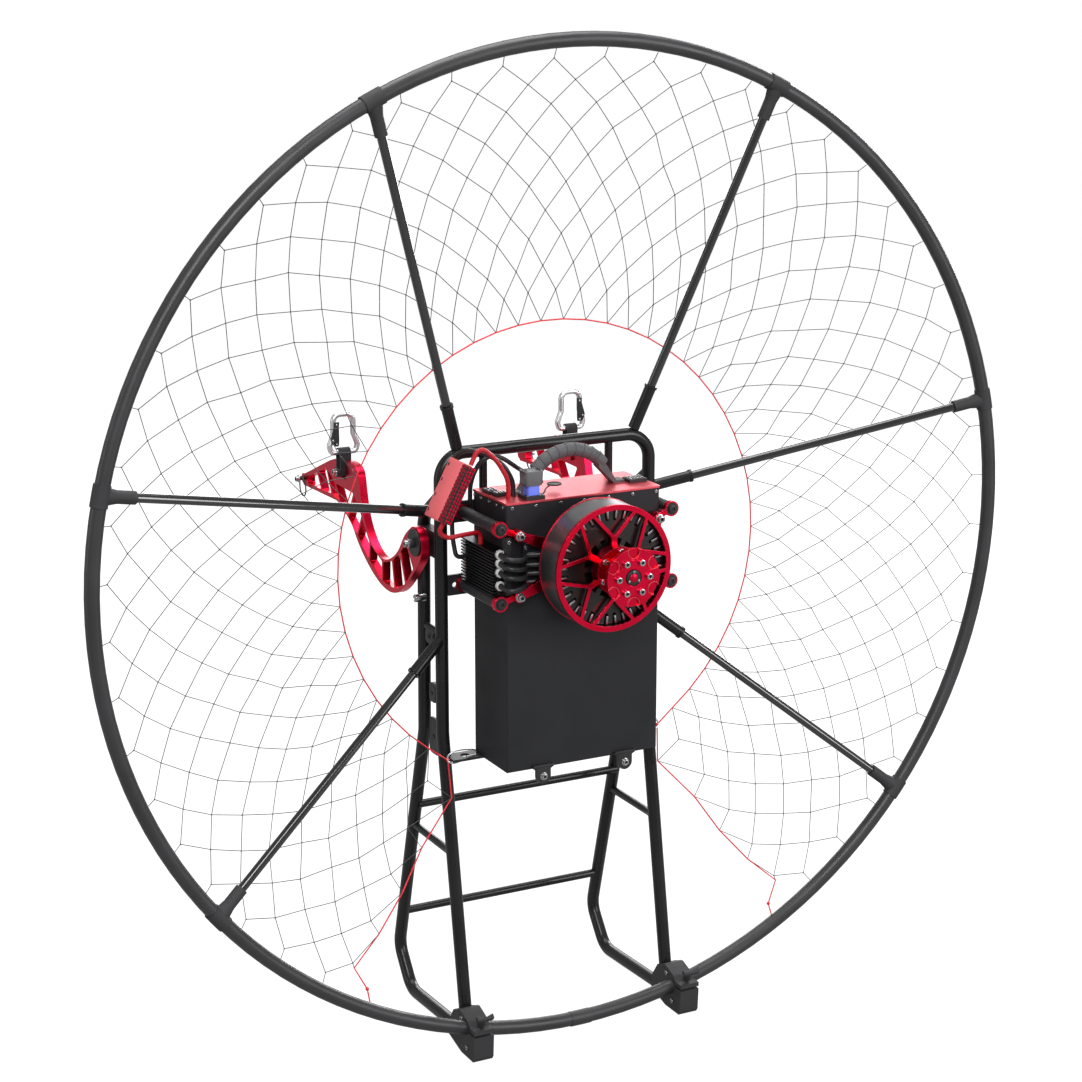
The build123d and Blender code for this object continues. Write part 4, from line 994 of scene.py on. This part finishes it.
# %% Plug
low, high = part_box("power_plug")
plug = block((high - low) / MM, (low + high) / 2)
pick(upright, "EDGE")
round_edges(5, 4)
done()
pick(top)
inset(2.6)
sink(0.9)
inset(1.2)
done()
pick(lambda middle, normal: abs(normal.x) > 0.98)
inset(3.2)
bpy.ops.mesh.extrude_region_shrink_fatten(TRANSFORM_OT_shrink_fatten={"value": -1.0 * MM})
done()
pick(bottom)
scale(0.86, 0.86, 1)
done()
rounded(plug, 1.3, 3, 30)
attach("plug_cap", [plug], "plug_grey", replaces=["power_plug"])
print("plug", tuple(round(v / MM, 1) for v in high - low))

# %% [markdown]
# Beside the plug, a round rubber cover closes a second socket. It's a dished cylinder on a short smooth stem.

# %% Socket cover
cap = cylinder(11, 2.4, 40)
shape_top(1.6, depth_mm=0.7)
rounded(cap, 0.5, 2)
stem_route = [
    at(-64, 12, 865.5), at(-57, 12, 865.5), at(-52, 18, 867), at(-44, 30, 869), at(-33, 37, 870.5), at(-26, 40, 870.5),
]
stem = tube("stem", [stem_route], 2.6, 4, curved=True)
cover = copies(cap, [(at(-24, 41, 871), UP)]) + [stem]
attach("socket_cover", cover, "contact_black")
spots = [(at(x, y, 868), UP) for x in (-91, -67) for y in (-3, 21)]
screws("plug_base_screws", spots, 1.7, 0.9)
print("socket cover made")

# %% [markdown]
# The flat connectors on the lid are rows of contacts in a moulded frame. The frame is the CAD solid. A contact
# is a pin with a chamfered top, modelled once and set out in rows.

# %% Contacts
CONTACTS_Z = 867.4
GRIDS = (
    ((-124, -118, -112), (58.5, 63.5, 68.5, 73.5)),
    ((-120, -115.3, -110.7, -106), (39, 43, 47)),
    ((100, 105.5, 111, 116.5, 122), (28.5, 34.2, 39.8, 45.5)),
)
pin = cylinder(1.3, 1.6, 12)
shape_top(0.4, 0.4)
spots = [(at(x, y, CONTACTS_Z), UP) for across, along in GRIDS for x in across for y in along]
attach("lid_contacts", copies(pin, spots), "steel")
print("contacts", len(spots))

# %% [markdown]
# ## Switch module
#
# The red box beside the hoop's left spar holds the switches. Its front half is plain, with a row of slots near
# the edge, which are black marks of painted shade. It leans, so it's modelled flat at the origin.

# %% Plain half
shell = block((46, 93, 15.6), (-8 * MM, 0, -8.2 * MM))
pick(upright, "EDGE")
round_edges(3, 3)
done()
shape_top(1.6, depth_mm=-0.4)
rounded(shell, 0.7, 2)
paint(shell, "red_cover")

slot_mark = cylinder(1.5, 0.9, 16)
slot_mark.scale = (1, 1.9, 1)
bpy.ops.object.transform_apply(scale=True)
shape_top(0.35, depth_mm=0.4)
# Painted shade: the slots are black marks on the red face.
paint(slot_mark, "contact_black")
marks = copies(slot_mark, [(Vector((-25, y, 0.2)) * MM, UP) for y in (-36, -12, 12, 36)])
print("slots", len(marks))

# %% [markdown]
# The rear half is a cast grid: a block with its edges subdivided, whose faces are each inset and pushed in. Its
# sunk faces are painted black, as painted shade in the grid's recesses. Both halves are then set on the module's
# own axes, which are the directions of its width, its length and its face.

# %% Cast half and the module's place
grid = block((17, 90, 13), (22.5 * MM, 0, -8 * MM))
pick(lengthways, "EDGE")
bpy.ops.mesh.subdivide(number_cuts=14)
done()
pick(lambda middle, along: abs(along.z) > 0.9 or abs(along.x) > 0.9, "EDGE")
bpy.ops.mesh.subdivide(number_cuts=2)
done()
pick(lambda middle, normal: normal.z > 0.9 or normal.x > 0.9)
inset(0.85, use_individual=True)
bpy.ops.mesh.extrude_faces_move(TRANSFORM_OT_shrink_fatten={"value": 1.5 * MM})
done()
smooth()
# Painted shade: the sunk faces of the grid take the black finish.
paint(grid, "red_anodised", "contact_black")
for face in grid.data.polygons:
    sunk_top = face.normal.z > 0.9 and face.center.z < -1 * MM
    sunk_side = face.normal.x > 0.9 and face.center.x < 31.7 * MM
    if sunk_top or sunk_side:
        face.material_index = 1

module_at = at(-200, 45, 880)
module_axes = Matrix((
    (0, 0.462, -0.887, module_at.x), (-1, 0, 0, module_at.y), (0, 0.887, 0.462, module_at.z), (0, 0, 0, 1),
))
module = join("module_shell", [shell, grid] + marks)
module.data.transform(module_axes)
attach("module_shell", [module], replaces=["switch_module"])
print("module faces", len(module.data.polygons))

# %% [markdown]
# ## Rings, hooks and stops
#
# A wire ring hangs from each arm's tip: a closed curve with a round section. The carabiner's gate is a flat bar,
# cut across three times, whose loops of edges are then widened and moved to the outline of its latch.

# %% Pieces of the arms
GATE_Y, GATE_Z, RIVETS_Y = 411.6, 895, 410.2
RING_ROUTE = ((0, 3.6), (5, 1), (6.6, -9), (6, -19), (-1, -27), (-12, -28), (-20, -20), (-19, -8), (-8, 2))


def ring_and_gate(side, name, out):
    """The ring at an arm's tip and the gate of its carabiner, which ride with the arm."""
    shank = cylinder(3.1, 9, 20)
    pick(upright)
    inset(0.6)
    done()
    smooth()
    x, (tip_y, tip_z) = side * (ARM_OUT + 4), TIP
    ring = tube("ring", [[at(x, tip_y + y, tip_z + z) for y, z in RING_ROUTE]], 2.4, 3, curved=True, closed=True)
    parts = copies(shank, [(at(x, tip_y, tip_z), out)]) + [ring]
    attach(name + "_tip_ring", parts, "black_bolt", body=name + "_arm_body")

    gate = block((8.4, 2.8, 39), at(side * STRAP_BOLT_OUT, GATE_Y, GATE_Z))
    for height in (887, 880, 908):
        cut_across((0, 0, height * MM), (0, 0, 1))
    for height, wide, across in ((887, 1.75, 3), (880, 1.45, 2), (875.5, 0.8, 0), (914.5, 1.2, 0)):
        pick(lambda middle, along: abs(middle.z - height * MM) < 0.4 * MM and abs(along.z) < 0.1, "EDGE")
        scale(wide, 1, 1)
        move(side * across, 0, 0)
        done()
    rounded(gate, 1.0, 2, 30)
    paint(gate, "contact_black")
    rivet = cylinder(1.7, 1.2, 16)
    shape_top(0.6, 0.4)
    paint(rivet, "steel")
    spots = [(at(side * x, RIVETS_Y, z), REAR) for x, z in ((STRAP_BOLT_OUT, 910), (224.0, 885.5), (217.8, 879))]
    attach(name + "_hook_gate", [gate] + copies(rivet, spots), body=name + "_arm_body")


# %% [markdown]
# Each arm rests on a round stop with a dished end. Below it a snap hook, which is one more closed wire, ties the
# red cord to the battery's shelf. Small screws close the clamps of the feet.

# %% Stops, snap hooks and foot screws
HOOK_ROUTE = (
    (185, 84, 452), (180, 83, 460), (168, 82, 463), (148, 84, 461), (134, 86, 457), (138, 85, 449), (154, 82, 448),
    (172, 80, 443), (182, 81, 445),
)
FOOT_X, FOOT_HALF = 181, 16.5


def stop_and_hook(side, name, out):
    """The stop, snap hook and foot screws of a side, which stay with the chassis."""
    stop = cylinder(6.2, 17)
    shape_top(1.4, depth_mm=1.2)
    rounded(stop, 0.7, 2)
    attach(name + "_arm_stop", copies(stop, [(at(side * 196.5, 150, 690), out)]), "steel")

    loop = tube("hook", [[at(side * x, y, z) for x, y, z in HOOK_ROUTE]], 2.6, 3, curved=True, closed=True)
    barrel = cylinder(2.6, 9, 20)
    pick(upright)
    inset(0.7)
    done()
    rounded(barrel, 0.4, 1)
    spots = [(at(side * 147, 83.4, 448.8), (side, -0.08, -0.05))]
    attach(name + "_snap_hook", [loop] + copies(barrel, spots), "bright_steel")

    spots = []
    for half, way in ((FOOT_HALF, out), (-FOOT_HALF, (-side, 0, 0))):
        spots += [(at(side * (FOOT_X + half), 12, 57), way), (at(side * (FOOT_X + half), -6, 16), way)]
    screws(name + "_foot_screws", spots, 3.8, 1.8)


for side, name, out in SIDES:
    ring_and_gate(side, name, out)
    stop_and_hook(side, name, out)
    print(name, "ring, gate, stop, snap hook and foot screws")

# %% [markdown]
# ## Fittings of the chassis
#
# Between a rear upright and the front leg beside it sit three small fittings: a rounded lug at the top, a link
# below it and a drilled plate at the joint of the leg. Each starts as a cube of its size. Its edges across the
# machine are bevelled wide, which rounds it as seen from the side.

# %% Lugs, links and plates
def side_block(size_mm, place, round_mm, hole_mm=0.0):
    """A block rounded in side view, with a hole of a radius through it if asked."""
    piece = block(size_mm, place)
    pick(sideways, "EDGE")
    round_edges(round_mm, 5)
    done()
    if hole_mm:
        bpy.ops.mesh.primitive_cylinder_add(vertices=24, radius=hole_mm * MM, depth=60 * MM, location=place,
                                            rotation=(0, math.radians(90), 0))
        tool = bpy.context.active_object
        cut = piece.modifiers.new("hole", "BOOLEAN")
        cut.object, cut.operation, cut.solver = tool, "DIFFERENCE", "EXACT"
        bpy.context.view_layer.objects.active = piece
        bpy.ops.object.modifier_apply(modifier=cut.name)
        bpy.data.objects.remove(tool)
        piece.select_set(True)
    return rounded(piece, 0.8, 2, 50)


LEG_X, LUG_HALF, LUG_Y, LUG_Z = 178, 7.6, 142.5, 630
for side, name, out in SIDES:
    parts = [
        side_block((15, 27, 24), at(side * LEG_X, LUG_Y, LUG_Z), 8),
        side_block((9, 22, 30), at(side * LEG_X, 140, 540), 5, 3.2),
        side_block((5, 34, 58), at(side * LEG_X, 139, 470), 9, 3.6),
    ]
    attach(name + "_leg_fittings", parts, "satin_black")
    inwards = (-side, 0, 0)
    spots = [(at(side * (LEG_X + half), LUG_Y, LUG_Z), way) for half, way in ((LUG_HALF, out), (-LUG_HALF, inwards))]
    screws(name + "_lug_screws", spots, 3.6, 2.2, finish="black_bolt")
    print(name, "leg fittings")

# %% [markdown]
# The shelf's two hooks have a lip that holds the battery's lower edge. Each lip is a small bevelled bar under
# the battery, just behind the shelf's tab.

# %% Lips
lips = []
for side in (-1, 1):
    lip = block((34, 5.6, 5), at(side * HOOK_PLATE_X, -11.4, 451.5))
    pick(bottom)
    inset(0.8)
    sink(3)
    scale(0.72, 1, 1)
    done()
    lips.append(rounded(lip, 0.9, 2))
attach("shelf_lips", lips, "satin_black")
print("lips", len(lips))

# %% [markdown]
# The lower braces run from the front legs to the rear legs. Their rear ends are short tubes that widen at the
# weld, where the tube meets the leg.

# %% Brace ends
BRACE_HEIGHT, BRACE_START, LEG_MIDDLE = 298, 113, 81
stub = cylinder(6, BRACE_START - LEG_MIDDLE)
cut_across((0, 0, 2.5 * MM), (0, 0, 1))
pick(top)
scale(1.6, 1.6, 1)
done()
smooth()
spots = [(at(side * LEG_X, (BRACE_START + LEG_MIDDLE) / 2, BRACE_HEIGHT), REAR) for side in (-1, 1)]
attach("brace_ends", copies(stub, spots), "gloss_black")
print("brace ends", len(spots))

# %% [markdown]
# The knobs that close the foot clamps have two wings. One starts as a flat block. It's cut across three times,
# its middle is drawn in and its ends are lifted, and a wide bevel makes it fit a thumb. A stub below it is the
# nut.

# %% Wing knobs
wings = block((28, 9, 8), (0, 0, 6.5 * MM))
for across in (-5, 0, 5):
    cut_across((across * MM, 0, 0), (1, 0, 0))
pick(lambda middle, along: abs(middle.x) < 5.5 * MM and abs(along.x) < 0.1, "EDGE")
scale(1, 0.62, 1)
done()
pick(sideways)
move(0, 0, 4.5)
done()
rounded(wings, 1.6, 3, 30)
nut = cylinder(5.5, 18, 32, (0, 0, -3 * MM))
pick(top)
scale(0.7, 0.7, 1)
done()
smooth()
knob = join("knob", [wings, nut])
lean = (0, -0.62, 0.78)
spots = [(at(side * FOOT_X, -28, 65), lean) for side in (-1, 1)]
attach("wing_nuts", copies(knob, spots), "moulded_black", replaces=["wing_knobs"])
print("knobs", len(spots))
